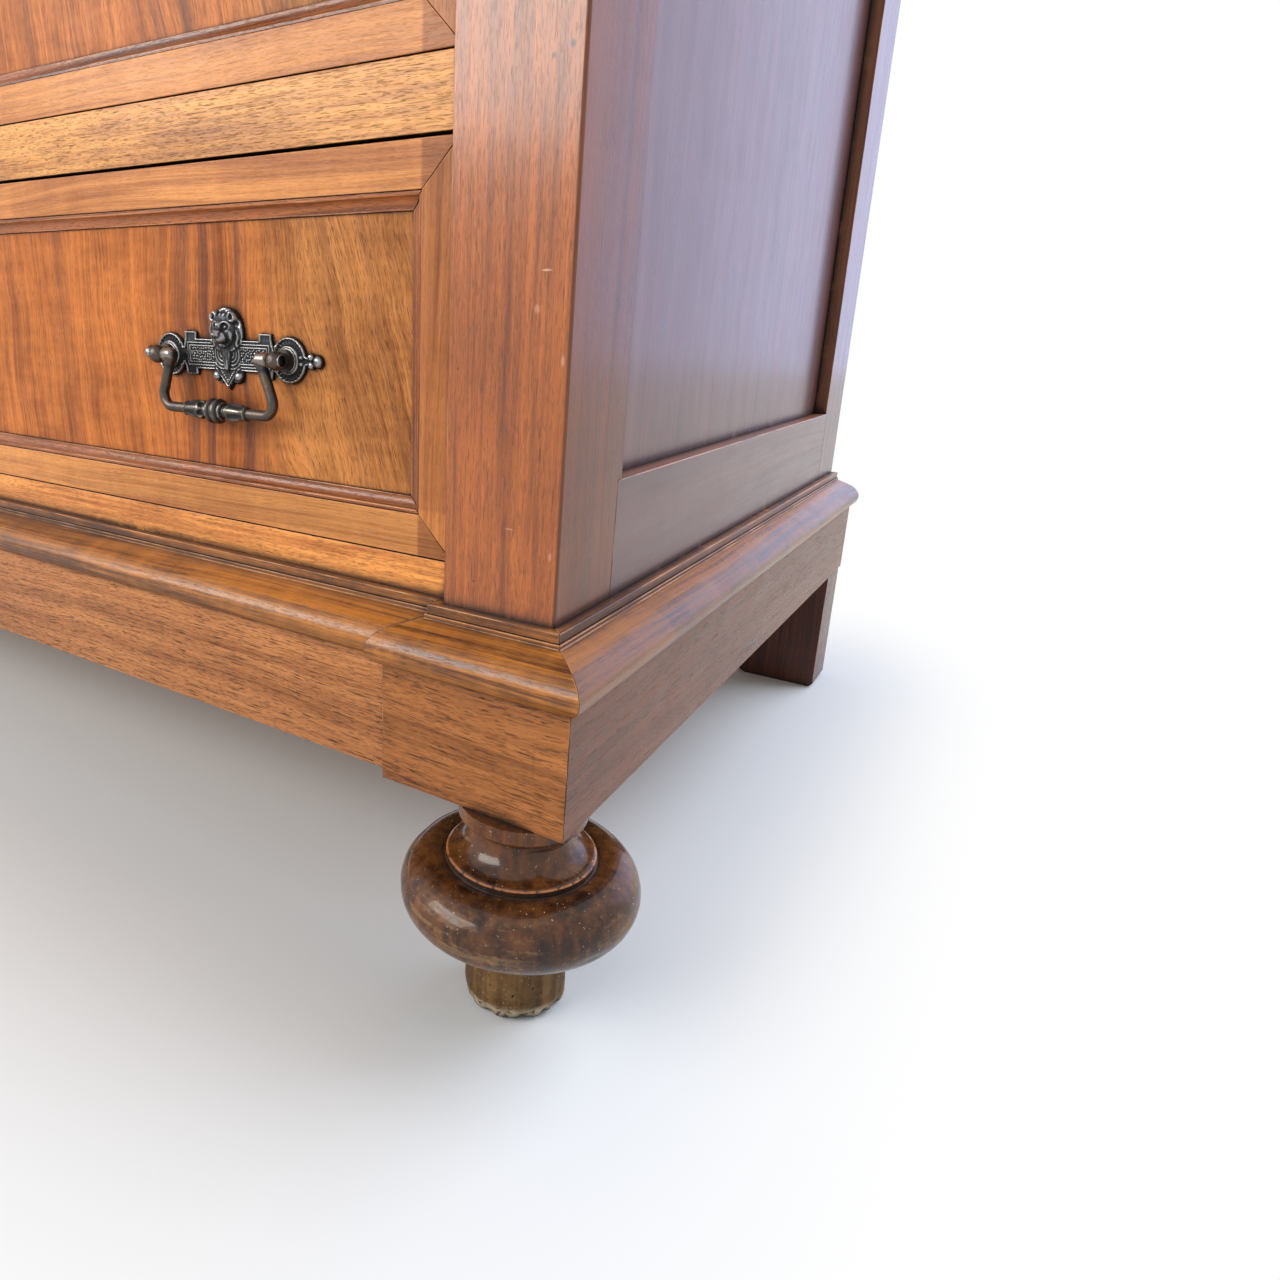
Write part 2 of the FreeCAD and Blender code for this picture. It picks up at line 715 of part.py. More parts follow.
def base_moulding():
    """The moulding on the plinth: set back in the middle, mitred round each corner block."""
    height = ("plinth_top - overrun", "moulding_top + overrun")
    reach = "(moulding_projection + overrun)"
    front = pad(piece("moulding_front_bar"), "YZ", moulding_section("recess", "-"),
                "-side_face", "side_face")
    wedge = pad(piece("moulding_front_wedge"), "XY", (
        ("-post_inner + %s" % reach, "recess - %s" % reach),
        ("post_inner - %s" % reach, "recess - %s" % reach),
        ("post_inner", "recess"),
        ("-post_inner", "recess"),
    ), *height)
    node("base_moulding_front", common("base_moulding_front", front, wedge))

    corner = pad(piece("moulding_corner_bar"), "YZ", moulding_section("post_face", "-"),
                 "post_inner - %s" % reach, "side_face + %s" % reach)
    wedge = pad(piece("moulding_corner_wedge"), "XY", (
        ("post_inner - %s" % reach, "post_face - %s" % reach),
        ("side_face + %s" % reach, "post_face - %s" % reach),
        ("side_face", "post_face"),
        ("post_inner", "post_face"),
    ), *height)
    run = common("moulding_corner", corner, wedge)
    bar = pad(piece("moulding_return_bar"), "XZ", moulding_section("post_inner", "-"),
              "post_face - %s" % reach, "recess")
    wedge = pad(piece("moulding_return_wedge"), "XY", (
        ("post_inner - %s" % reach, "recess - %s" % reach),
        ("post_inner - %s" % reach, "post_face - %s" % reach),
        ("post_inner", "post_face"),
        ("post_inner", "recess"),
    ), *height)
    back_turn = common("moulding_return", bar, wedge)
    node("base_moulding_corners", run, mirrored("moulding_corner_twin", run),
         back_turn, mirrored("moulding_return_twin", back_turn))

    side = pad(piece("moulding_side_bar"), "XZ", moulding_section("side_face", "+"),
               "post_face - %s" % reach, "back_face")
    wedge = pad(piece("moulding_side_wedge"), "XY", (
        ("side_face", "post_face"),
        ("side_face + %s" % reach, "post_face - %s" % reach),
        ("side_face + %s" % reach, "back_face"),
        ("side_face", "back_face"),
    ), *height)
    both("base_moulding_sides", common("moulding_side", side, wedge))


def base_fillets():
    """The small square strips between the moulding and the posts and rail, mitred at every corner."""
    corners = [("-post_inner", "recess"), ("post_inner", "recess"), ("post_inner", "post_face"),
               ("side_face", "post_face"), ("side_face", "back_face")]
    outside = [("-post_inner + base_fillet_projection", "recess - base_fillet_projection"),
               ("post_inner - base_fillet_projection", "recess - base_fillet_projection"),
               ("post_inner - base_fillet_projection", "post_face - base_fillet_projection"),
               ("side_face + base_fillet_projection", "post_face - base_fillet_projection"),
               ("side_face + base_fillet_projection", "back_face")]
    strips = []
    for index in range(len(corners) - 1):
        strips.append(pad(piece("fillet_%d" % index), "XY",
                          (corners[index], outside[index], outside[index + 1], corners[index + 1]),
                          "moulding_top", "base_line"))
    node("base_fillets", *strips, *[mirrored(strip.Name + "_twin", strip) for strip in strips[1:]])


# Feet

def front_feet():
    """Turned feet: a peg, a wide bun, a thin ring, a hollow neck and a collar, with a dowel above."""
    bun_middle = "peg_height + bun_height / 2"
    bun_shoulder = "bun_radius - bun_height / 2"
    quirk = "(ring_radius - %s)" % ("(" + bun_shoulder + ")")
    bun_top = "%s + sqrt((bun_height / 2) ^ 2 - %s ^ 2)" % (bun_middle, quirk)
    upper_turn = math.acos(number("%s * 2 / bun_height" % quirk))
    ring_top = "peg_height + bun_height + ring_height"
    collar_low = "foot_height - collar_height"
    foot = turn(piece("front_foot_right"), "XZ", (
        ("0", "0"),
        ("peg_radius - peg_chamfer", "0"),
        ("peg_radius", "peg_chamfer"),
        ("peg_radius", "peg_height"),
        (bun_shoulder, "peg_height", QUARTER_TURN_SHARE),
        ("bun_radius", bun_middle, math.tan(upper_turn / 4)),
        ("ring_radius", bun_top),
        ("ring_radius", "%s - ring_height * %g" % (ring_top, RING_EDGE_SHARE)),
        ("ring_radius - ring_height / 2", ring_top, NECK_HOLLOW_SHARE),
        ("neck_radius", collar_low),
        ("collar_radius - collar_bead", collar_low, FOOT_BEAD_SHARE),
        ("collar_radius - collar_bead", "%s + collar_bead" % collar_low),
        ("collar_radius", "%s + collar_bead" % collar_low),
        ("collar_radius", "foot_height"),
        ("dowel_radius", "foot_height"),
        ("dowel_radius", "foot_height + dowel_length"),
        ("0", "foot_height + dowel_length"),
    ), "V_Axis")
    bind(foot, Base_x="foot_axis_x", Base_y="foot_axis_y")
    node("front_foot_right", foot)
    node("front_foot_left", mirrored("front_foot_left", foot))


def rear_feet():
    """Plain rear feet: a thick board across each back corner, its lower corners taken off."""
    right = "side_face + plinth_thickness"
    foot = pad(piece("rear_foot"), "XZ", (
        ("%s - rear_foot_width + rear_foot_corner" % right, "0"),
        ("%s - rear_foot_chamfer" % right, "0"),
        (right, "rear_foot_chamfer"),
        (right, "foot_height"),
        ("%s - rear_foot_width" % right, "foot_height"),
        ("%s - rear_foot_width" % right, "rear_foot_chamfer"),
    ), "back_face - rear_foot_inset - rear_foot_thickness", "back_face - rear_foot_inset")
    both("rear_feet", foot)


# Drawers

def tails(low, reach):
    """Outlines of a drawer side's dovetails: wide tips in the front board, roots at its rear face."""
    shapes = []
    for index in range(TAILS):
        middle = "%s + side_height * %.4f" % (low, (index + 0.5) / TAILS)
        root, tip = "side_height * %.3f" % TAIL_ROOT_SHARE, "side_height * %.3f" % TAIL_TIP_SHARE
        shapes.append((
            (reach, "%s - %s" % (middle, root)),
            ("board_rear - tail_length", "%s - %s" % (middle, tip)),
            ("board_rear - tail_length", "%s + %s" % (middle, tip)),
            (reach, "%s + %s" % (middle, root)),
        ))
    return shapes


def front_board(label, low):
    """The front board: tail sockets at both ends, a groove for the bottom and bores for the handles."""
    body = board(label + "_front_board", ("-front_half", "front_half"), ("field", "board_rear"),
                 (low, "%s + front_height" % low))
    sockets = tails(low, "board_rear")
    pad(body, "YZ", sockets, "side_inside", "front_half", "Pocket")
    pad(body, "YZ", sockets, "-front_half", "-side_inside", "Pocket")
    cut(body, ("-side_inside - bottom_groove", "side_inside + bottom_groove"),
        ("board_rear - bottom_groove", "board_rear + overrun"),
        ("%s + bottom_rise" % low, "%s + bottom_rise + bottom_thickness" % low))
    for hand in ("", "-"):
        for side in ("-", "+"):
            hole = body.newObject("PartDesign::SubtractiveCylinder", body.Name + "_bolt_hole")
            hole.Placement.Rotation = FreeCAD.Rotation(FreeCAD.Vector(1, 0, 0), -90)
            bind(hole, Base_x="%shandle_x %s post_spread / 2" % (hand, side), Base_y="field - overrun",
                 Base_z="%s + handle_rise" % low, Radius="shank_radius + shank_gap",
                 Height="board_thickness + overrun * 2")
            DOC.recompute()
    node(label + "_front_board", body)


def strip_section(edge, inward, face="field"):
    """Section of a field strip: places across (from the frame, inward) and forward from the field."""
    return tuple(("%s %s strip_width * %.2f" % (edge, inward, across),
                  "%s - strip_height * %.2f" % (face, forward_share))
                 for across, forward_share in STRIP_SHARES)


def front_face(label, low):
    """The mitred framing of a drawer front and the moulded strips inside it."""
    high = "%s + front_height" % low
    reach = "(frame_width + strip_width)"
    depth = ("recess", "field")
    frames, strips = [], []

    def wedge(name, points):
        return pad(piece(label + name), "XZ", points, "recess - overrun", "field + overrun")

    def curved(points, bulge):
        """Round the sloping face of a strip."""
        shaped = list(points)
        shaped[2] = shaped[2] + (bulge,)
        return tuple(shaped)

    for name, outer, away in (("_low", low, "+"), ("_high", high, "-")):
        mitre = wedge(name + "_wedge", (
            ("-front_half", outer), ("front_half", outer),
            ("front_half - %s" % reach, "%s %s %s" % (outer, away, reach)),
            ("-front_half + %s" % reach, "%s %s %s" % (outer, away, reach))))
        span = (outer, "%s + frame_width" % outer) if away == "+" else ("%s - frame_width" % outer, outer)
        bar = board(label + name + "_bar", ("-front_half", "front_half"), depth, span)
        frames.append(common(label + name + "_member", bar, mitre))
        section = strip_section("%s %s frame_width" % (outer, away), away)
        section = curved(section, -STRIP_ROUND_SHARE if away == "+" else STRIP_ROUND_SHARE)
        bar = pad(piece(label + name + "_strip_bar"), "YZ", [(y, z) + tuple(rest)
                  for z, y, *rest in section], "-front_half", "front_half")
        strips.append(common(label + name + "_strip", bar, mitre))
    mitre = wedge("_end_wedge", (
        ("front_half", low), ("front_half", high),
        ("front_half - %s" % reach, "%s - %s" % (high, reach)),
        ("front_half - %s" % reach, "%s + %s" % (low, reach))))
    bar = board(label + "_end_bar", ("front_half - frame_width", "front_half"), depth, (low, high))
    member = common(label + "_end_member", bar, mitre)
    section = curved(strip_section("front_half - frame_width", "-"), -STRIP_ROUND_SHARE)
    bar = pad(piece(label + "_end_strip_bar"), "XY", section, low, high)
    strip = common(label + "_end_strip", bar, mitre)
    frames += [member, mirrored(member.Name + "_twin", member)]
    strips += [strip, mirrored(strip.Name + "_twin", strip)]
    node(label + "_front_frame", *frames)
    node(label + "_field_moulding", *strips)


def drawer_box(label, low):
    """Sides with dovetails, a housed back and a bottom let into grooves."""
    high = "%s + side_height" % low
    points = [("drawer_rear", low), ("board_rear", low)]
    for shape in tails(low, "board_rear"):
        points += list(shape)
    points += [("board_rear", high), ("drawer_rear", high)]
    side = pad(piece(label + "_side_right"), "YZ", tuple(points), "side_inside", "front_half")
    cut(side, ("side_inside - overrun", "side_inside + bottom_groove"),
        ("board_rear - tail_length - overrun", "drawer_rear + overrun"),
        ("%s + bottom_rise" % low, "%s + bottom_rise + bottom_thickness" % low))
    cut(side, ("side_inside - overrun", "side_inside + housing_depth"),
        ("drawer_back_front", "drawer_back_rear"),
        ("%s + bottom_rise + bottom_thickness" % low, "%s + overrun" % high))
    node(label + "_side_right", side)
    node(label + "_side_left", mirrored(label + "_side_left", side))
    node(label + "_back", board(label + "_back", ("-side_inside - housing_depth", "side_inside + housing_depth"),
                                ("drawer_back_front", "drawer_back_rear"),
                                ("%s + bottom_rise + bottom_thickness" % low, "%s - back_drop" % high)))
    node(label + "_bottom", board(label + "_bottom",
                                  ("-side_inside - bottom_groove + panel_gap",
                                   "side_inside + bottom_groove - panel_gap"),
                                  ("board_rear - bottom_groove", "drawer_back_rear"),
                                  ("%s + bottom_rise" % low, "%s + bottom_rise + bottom_thickness" % low)))


# Handles, drawn about the middle of the pin axis, on the field

def forward(body, kind, name, **sizes):
    """Add or cut a round primitive whose axis points out of the drawer front."""
    form = body.newObject("PartDesign::" + kind, name)
    form.Placement.Rotation = FreeCAD.Rotation(FreeCAD.Vector(1, 0, 0), 90)
    if kind == "AdditiveEllipsoid":
        form.Angle1 = 0
    bind(form, **sizes)
    DOC.recompute()


def plate_point(across, up, *bulge):
    return ("plate_half_length * %.3f" % across if across else "0", "plate_rise * %.3f" % up if up else "0") + bulge


def handle_plate(name, x, z):
    """The cast plate: wings with sunk fields, a shell round each post, and a lion's head over a shield."""
    shares = DROP_SHARES + LOWER_EAR_SHARES + SHELL_SHARES + UPPER_EAR_SHARES + CROWN_SHARES
    body = pad(piece(name), "XZ", tuple(plate_point(*share) for share in shares), "-plate_thickness", "0")
    half = body.Tip
    whole = body.newObject("PartDesign::Mirrored", name + "_whole")
    whole.Originals = [half]
    whole.MirrorPlane = (origin_plane(body, "YZ"), [""])
    body.Tip = whole
    DOC.recompute()
    for side in (1, -1):
        pad(body, "XZ", tuple(plate_point(side * across, up) for across, up in WING_FIELD_SHARES),
            "-plate_thickness", "-plate_thickness + wing_recess", "Pocket")
    for side in ("-", ""):
        forward(body, "AdditiveCylinder", name + "_rosette", Base_x="%spost_spread / 2" % side,
                Radius="rosette_radius", Height="plate_thickness + rosette_height")
        forward(body, "AdditiveEllipsoid", name + "_ear", Base_x="%splate_rise * %.2f" % (side, EAR_SHARES[0]),
                Base_z="plate_rise * %.2f" % EAR_SHARES[1], Radius1="head_relief", Radius2="ear_radius",
                Radius3="ear_radius")
    for part, share, tall in (("head", HEAD_SHARE, "head_half_height"), ("muzzle", MUZZLE_SHARE, "muzzle_radius"),
                              ("shield", SHIELD_SHARE, "shield_half_height")):
        wide = "muzzle_radius" if part == "muzzle" else part + "_half_width"
        forward(body, "AdditiveEllipsoid", name + "_" + part, Base_z="plate_rise * %.2f" % share,
                Radius1=part + "_relief", Radius2=wide, Radius3=tall)
    for side in ("-", ""):
        forward(body, "SubtractiveCylinder", name + "_bolt_hole", Base_x="%spost_spread / 2" % side,
                Base_y="overrun", Radius="shank_radius + shank_gap",
                Height="plate_thickness + rosette_height + overrun * 2")
    return bind(body, Base_x=x, Base_y="field", Base_z=z)


def handle_post(name, x, z):
    """A turned post: a drum, a neck and a domed bead bored for the pin, with a bolt through the board."""
    seat = "plate_thickness + rosette_height"
    tuck = math.acos(number("post_neck_radius / bead_radius"))
    body = turn(piece(name), "XY", (
        ("0", "shank_length"),
        ("0", "-pin_standoff - bead_radius", QUARTER_TURN_SHARE),
        ("bead_radius", "-pin_standoff", math.tan(tuck / 4)),
        ("post_neck_radius", "-pin_standoff + sqrt(bead_radius ^ 2 - post_neck_radius ^ 2)"),
        ("post_neck_radius", "-(%s) - post_base_height" % seat),
        ("post_base_radius", "-(%s) - post_base_height" % seat),
        ("post_base_radius", "-(%s)" % seat),
        ("shank_radius", "-(%s)" % seat),
        ("shank_radius", "shank_length"),
    ), "V_Axis")
    hole = body.newObject("PartDesign::SubtractiveCylinder", name + "_pin_hole")
    hole.Placement.Rotation = FreeCAD.Rotation(FreeCAD.Vector(0, 1, 0), 90)
    bind(hole, Base_x="-bead_radius - overrun", Base_y="-pin_standoff", Radius="pin_radius + pin_gap",
         Height="bead_radius * 2 + overrun * 2")
    DOC.recompute()
    return bind(body, Base_x=x, Base_y="field", Base_z=z)


def handle_nut(name, x, z):
    """A round nut on the bolt's end, inside the drawer."""
    thread = "shank_radius + shank_gap / 2"
    body = turn(piece(name), "XY", (
        (thread, "board_thickness"),
        ("nut_radius", "board_thickness"),
        ("nut_radius", "board_thickness + nut_height"),
        (thread, "board_thickness + nut_height"),
    ), "V_Axis")
    return bind(body, Base_x=x, Base_y="field", Base_z=z)


def bail_half():
    """Centre line of half the bail, from the middle of the grip round the elbow up to the knuckle."""
    turn_share = math.tan(math.radians(90 + number("arm_lean")) / 4)
    return (
        ("0", "-bail_drop"),
        ("bail_half_width - bail_corner_radius", "-bail_drop", turn_share),
        ("bail_half_width - bail_corner_radius + bail_corner_radius * cos(arm_lean)",
         "-bail_drop + bail_corner_radius + bail_corner_radius * sin(arm_lean)"),
        ("knuckle_x", "0"),
    )


def grip_section():
    """Half section of the grip along its own axis: leaf sheaths, necks and a ringed collar."""
    half = [("sheath_half_length", "0"), ("sheath_half_length", "bail_rod_radius")]
    half += [("sheath_half_length * %.2f" % along, "sheath_radius * %.2f" % out) for along, out in LEAF_SHARES]
    half += [("grip_collar_half_length * %.2f" % GRIP_NECK_SHARE, "grip_neck_radius"),
             ("grip_collar_half_length", "grip_neck_radius")]
    half += [("grip_collar_half_length * %.2f" % along, "grip_collar_radius * %.2f" % out)
             for along, out in COLLAR_SHARES]
    return tuple(half) + tuple(("-(%s)" % along, out) for along, out in reversed(half))


def bail(name, x, z):
    """The swinging bail: pins, knuckles, splayed arms and a grip with sheaths and a ringed collar."""
    body = piece(name)
    rod_round = (("0", "-bail_drop - bail_rod_radius", HALF_TURN_SHARE),
                 ("0", "-bail_drop + bail_rod_radius", HALF_TURN_SHARE))
    ring = outline(body, "rod_section", "YZ", [rod_round])
    right = bail_half()
    left = [("-(%s)" % point[0] if point[0] != "0" else "0", point[1]) + tuple(-share for share in point[2:])
            for point in right]
    for index, half in enumerate((right, left)):
        spine = outline(body, "path_%d" % index, "XZ", [tuple(half)], closed=False)
        rod = body.newObject("PartDesign::AdditivePipe", "%s_rod_%d" % (name, index))
        rod.Profile = ring
        rod.Spine = (spine, ["Edge%d" % (edge + 1) for edge in range(len(half) - 1)])
        DOC.recompute()
    turn(body, "XZ", grip_section(), "H_Axis", "-bail_drop")
    for side in ("-", ""):
        ball = body.newObject("PartDesign::AdditiveSphere", name + "_knuckle")
        bind(ball, Base_x="%sknuckle_x" % side, Radius="knuckle_radius")
        for part, start, end in (("knuckle", "knuckle_x", "knuckle_end"), ("pin", "knuckle_end", "pin_end")):
            stub = body.newObject("PartDesign::AdditiveCylinder", name + "_" + part)
            stub.Placement.Rotation = FreeCAD.Rotation(FreeCAD.Vector(0, 1, 0), 90)
            bind(stub, Base_x="-" + end if side else start, Radius=part + "_radius",
                 Height="%s - %s" % (end, start))
            DOC.recompute()
    return bind(body, Base_x=x, Base_y="field - pin_standoff", Base_z=z)


def handles(label, low):
    """Two handles on a drawer front, the left one the twin of the right."""
    z = "%s + handle_rise" % low
    both(label + "_handle_plates", handle_plate(label + "_plate", "handle_x", z))
    for name, make in (("post", handle_post), ("nut", handle_nut)):
        rights = [make("%s_%s_%d" % (label, name, index), "handle_x %s post_spread / 2" % sign, z)
                  for index, sign in enumerate("+-")]
        node("%s_handle_%ss" % (label, name), *rights,
             *[mirrored(right.Name + "_twin", right) for right in rights])
    right = node(label + "_bail_right", bail(label + "_bail", "handle_x", z))
    node(label + "_bail_left", mirrored(label + "_bail_twin", right))


def drawers():
    for level in DRAWERS:
        label = "drawer_%d" % level
        low = "%s + front_gap_below" % rail_top(level - 1)
        front_board(label, low)
        front_face(label, low)
        drawer_box(label, low)
        handles(label, low)


def check():
    """Stop if anything failed, is empty or invalid, or if a cut removed nothing."""
    faults = []
    for thing in DOC.Objects:
        if {"Invalid", "Error"} & set(thing.State):
            faults.append("%s is %s" % (thing.Name, thing.State))
        if thing.TypeId in ("PartDesign::Pocket", "PartDesign::SubtractiveBox",
                            "PartDesign::SubtractiveCylinder"):
            if not thing.BaseFeature or thing.Shape.Volume >= thing.BaseFeature.Shape.Volume:
                faults.append("%s cuts nothing" % thing.Name)
    for kept in NODES:
        if kept.Shape.isNull() or not kept.Shape.isValid() or not kept.Shape.Solids:
            faults.append("%s has no valid shape" % kept.Label)
    if faults:
        raise RuntimeError("; ".join(faults))


def main():
    fill_sheet("Sizes", SIZES)
    fill_sheet("Places", PLACES)
    for make in (front_posts, rear_posts, side_rails, side_panels, front_rails, drawer_supports, back, top,
                 plinth, base_moulding, base_fillets, front_feet, rear_feet, drawers):
        make()
    DOC.recompute()
    check()
    os.makedirs("parts", exist_ok=True)
    for kept in NODES:
        kept.Shape.exportStep("parts/%s.step" % kept.Label)
    print("%d parts, %d solids" % (len(NODES), sum(len(kept.Shape.Solids) for kept in NODES)))


main()
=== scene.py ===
import json
from math import cos, radians, sin

import bmesh
import bpy
import numpy as np
from mathutils import Matrix, Vector


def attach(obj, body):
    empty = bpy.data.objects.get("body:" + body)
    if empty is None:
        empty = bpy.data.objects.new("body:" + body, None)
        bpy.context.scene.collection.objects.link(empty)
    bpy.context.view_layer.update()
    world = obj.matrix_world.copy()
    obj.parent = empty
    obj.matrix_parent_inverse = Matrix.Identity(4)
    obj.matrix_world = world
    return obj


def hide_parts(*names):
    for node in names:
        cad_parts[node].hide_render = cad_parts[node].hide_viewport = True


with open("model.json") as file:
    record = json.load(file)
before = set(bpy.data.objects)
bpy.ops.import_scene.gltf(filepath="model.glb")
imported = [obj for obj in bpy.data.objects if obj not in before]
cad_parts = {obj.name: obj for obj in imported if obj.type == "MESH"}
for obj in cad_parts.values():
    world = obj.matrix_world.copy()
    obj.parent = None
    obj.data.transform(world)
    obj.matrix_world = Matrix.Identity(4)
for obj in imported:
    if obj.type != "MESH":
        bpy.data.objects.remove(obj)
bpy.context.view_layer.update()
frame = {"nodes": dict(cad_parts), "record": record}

BEHAVIOUR = frame["record"]["behaviour"]
SEED = 1880
MM = 0.001


# Shader maths

class Wire:
    """A number or colour on its way to a finish. Arithmetic on it adds Math nodes."""

    def __init__(self, finish, socket):
        self.finish, self.socket = finish, socket

    def maths(self, operation, *values):
        """One Math node; its sockets take the values in order."""
        return self.finish.put("Math", {"operation": operation}, dict(enumerate(values)))

    def __add__(self, other):
        return self.maths("ADD", self, other)

    def __sub__(self, other):
        return self.maths("SUBTRACT", self, other)

    def __rsub__(self, other):
        return self.maths("SUBTRACT", other, self)

    def __mul__(self, other):
        return self.maths("MULTIPLY", self, other)

    def __pow__(self, other):
        return self.maths("POWER", self, other)

    def __abs__(self):
        return self.maths("ABSOLUTE", self)

    def at_least(self, other):
        """The larger of the two."""
        return self.maths("MAXIMUM", self, other)

    __radd__ = __add__
    __rmul__ = __mul__


class Finish:
    """The nodes of one material or of the world."""

    def __init__(self, name, owners=bpy.data.materials):
        self.material = owners.new(name)
        self.material.use_nodes = True
        self.tree = self.material.node_tree
        self.tree.nodes.clear()

    def put(self, kind, settings=None, values=None, out=0):
        """Any node: first its settings, then the value or link of each socket."""
        node = self.tree.nodes.new("ShaderNode" + kind)
        for key, value in (settings or {}).items():
            setattr(node, key, value)
        for key, value in (values or {}).items():
            if isinstance(value, Wire):
                self.tree.links.new(value.socket, node.inputs[key])
            else:
                node.inputs[key].default_value = value
        return Wire(self, node.outputs[out]) if node.outputs else None

    def parts(self, vector):
        """The three numbers of a vector."""
        split = self.put("SeparateXYZ", None, {0: vector})
        return [Wire(self, split.socket.node.outputs[i]) for i in range(3)]

    def place(self):
        """Where the point is on the whole chest, in metres."""
        return self.parts(self.put("TexCoord", out="Object"))

    def carried(self, name):
        """The three numbers that the mesh carries under this name."""
        return self.parts(self.put("Attribute", {"attribute_name": name}, out="Vector"))

    def point(self, x, y, z):
        """A vector of three numbers."""
        return self.put("CombineXYZ", None, {0: x, 1: y, 2: z})

    def cloud(self, x, y, z, detail=2.0, roughness=0.5):
        """Soft noise, 0 to 1 about one half, a unit of x, y and z to a patch."""
        return self.put("TexNoise", None, {"Vector": self.point(x, y, z), "Scale": 1.0,
                                           "Detail": detail, "Roughness": roughness}, "Fac")

    def grained(self, board, along, across, detail=2.0, roughness=0.5):
        """Noise on a board, so many patches a metre along its grain and across."""
        return self.cloud(board[0] * along, board[1] * across, board[2] * across, detail, roughness)

    def rise(self, value, low, high):
        """0 below low, 1 above high and smooth between; low above high turns it round."""
        if low > high:
            return 1 - self.rise(value, high, low)
        return self.put("MapRange", {"interpolation_type": "SMOOTHSTEP"},
                        {"Value": value, "From Min": low, "From Max": high})

    def band(self, value, start, end):
        """1 between start and end, each a pair for rise, as the product of the two rises."""
        return self.rise(value, *start) * self.rise(value, *end)

    def seen(self):
        """1 for what the camera sees, straight or in a gloss or glass, and 0 for lighting."""
        straight, gloss, glass = (self.put("LightPath", out="Is %s Ray" % kind)
                                  for kind in ("Camera", "Glossy", "Transmission"))
        return straight.at_least(gloss).at_least(glass)

    def near(self, centre, size):
        """1 at centre and 0 from its three half sizes away on, by the distance measured in them."""
        spot = self.put("TexCoord", out="Object")
        for operation, value in (("SUBTRACT", centre), ("DIVIDE", size)):
            spot = self.put("VectorMath", {"operation": operation}, {0: spot, 1: value})
        away = self.put("VectorMath", {"operation": "LENGTH"}, {0: spot}, "Value")
        return self.rise(away, 1.0, 0.3)

    def grime_and_shade(self, reach=0.009):
        """1 in corners that neighbours close in on, by occlusion: where dust and old polish gather
        and shade falls, so it paints shade as well as dust.
        """
        open_air = self.put("AmbientOcclusion", {"samples": 6}, {"Distance": reach}, "AO")
        return self.rise(open_air, 0.9, 0.5)

    def mix(self, factor, first, second, blend="MIX"):
        """first where factor is 0 and second where it is 1."""
        return self.put("Mix", {"data_type": "RGBA", "blend_type": blend},
                        {"Factor": factor, 6: first, 7: second}, 2)

    def surface(self, height, distance, looks):
        """Ends the material: height in steps of distance metres is its relief."""
        normal = self.put("Bump", None, {"Height": height, "Distance": distance, "Strength": 1.0})
        shader = self.put("BsdfPrincipled", None, {**looks, "Normal": normal})
        self.put("OutputMaterial", None, {"Surface": shader})
        return self.material


def tint(red, green, blue):
    """A colour from its eight-bit screen numbers, by the screen's own curve."""
    channels = [c / 255 for c in (red, green, blue)]
    return (*[c / 12.92 if c < 0.04045 else ((c + 0.055) / 1.055) ** 2.4 for c in channels], 1)


def placed(name, data):
    """A new object in the scene."""
    obj = bpy.data.objects.new(name, data)
    bpy.context.scene.collection.objects.link(obj)
    return obj


# Timber finishes

UMBER = tint(58, 30, 19)
# Corner tone: dust, and painted shade in the corners
DUST_AND_SHADE = tint(38, 30, 26)
# Eased arris tone: rubbed wear and a painted highlight
ARRIS_WEAR_AND_HIGHLIGHT = tint(226, 160, 108)
# Cool tone of sideways faces: a painted reflection of the sky
PAINTED_SKY_SHEEN = tint(166, 167, 224)
HOLE = tint(30, 17, 12)
CHALK = tint(236, 196, 170)


def polished(f, wood, height, rough, coat, shine, dirt_and_shade=1.1, mirror=0.18):
    """Ends a timber finish, wood under old shellac. Corners that neighbours close in on, times a
    patchy noise and a strength, turn dark and rougher: partly dust and partly painted shade.
    mirror is how rough the shellac is and coat how thick, shine the gloss of the wood itself."""
    x, y, z = f.place()
    # Dust and painted shade: occlusion of the corners times a patchy noise
    dust_and_shade = f.grime_and_shade() * f.rise(f.cloud(x * 90, y * 90, z * 90, 4), 0.18, 0.46) * dirt_and_shade
    wood = f.mix(dust_and_shade, wood, DUST_AND_SHADE)
    return f.surface(height, 0.2 * MM, {
        "Base Color": wood, "Roughness": rough + dust_and_shade * 0.4, "Coat Weight": coat,
        "Coat Roughness": mirror, "IOR": 1.5, "Specular IOR Level": shine})


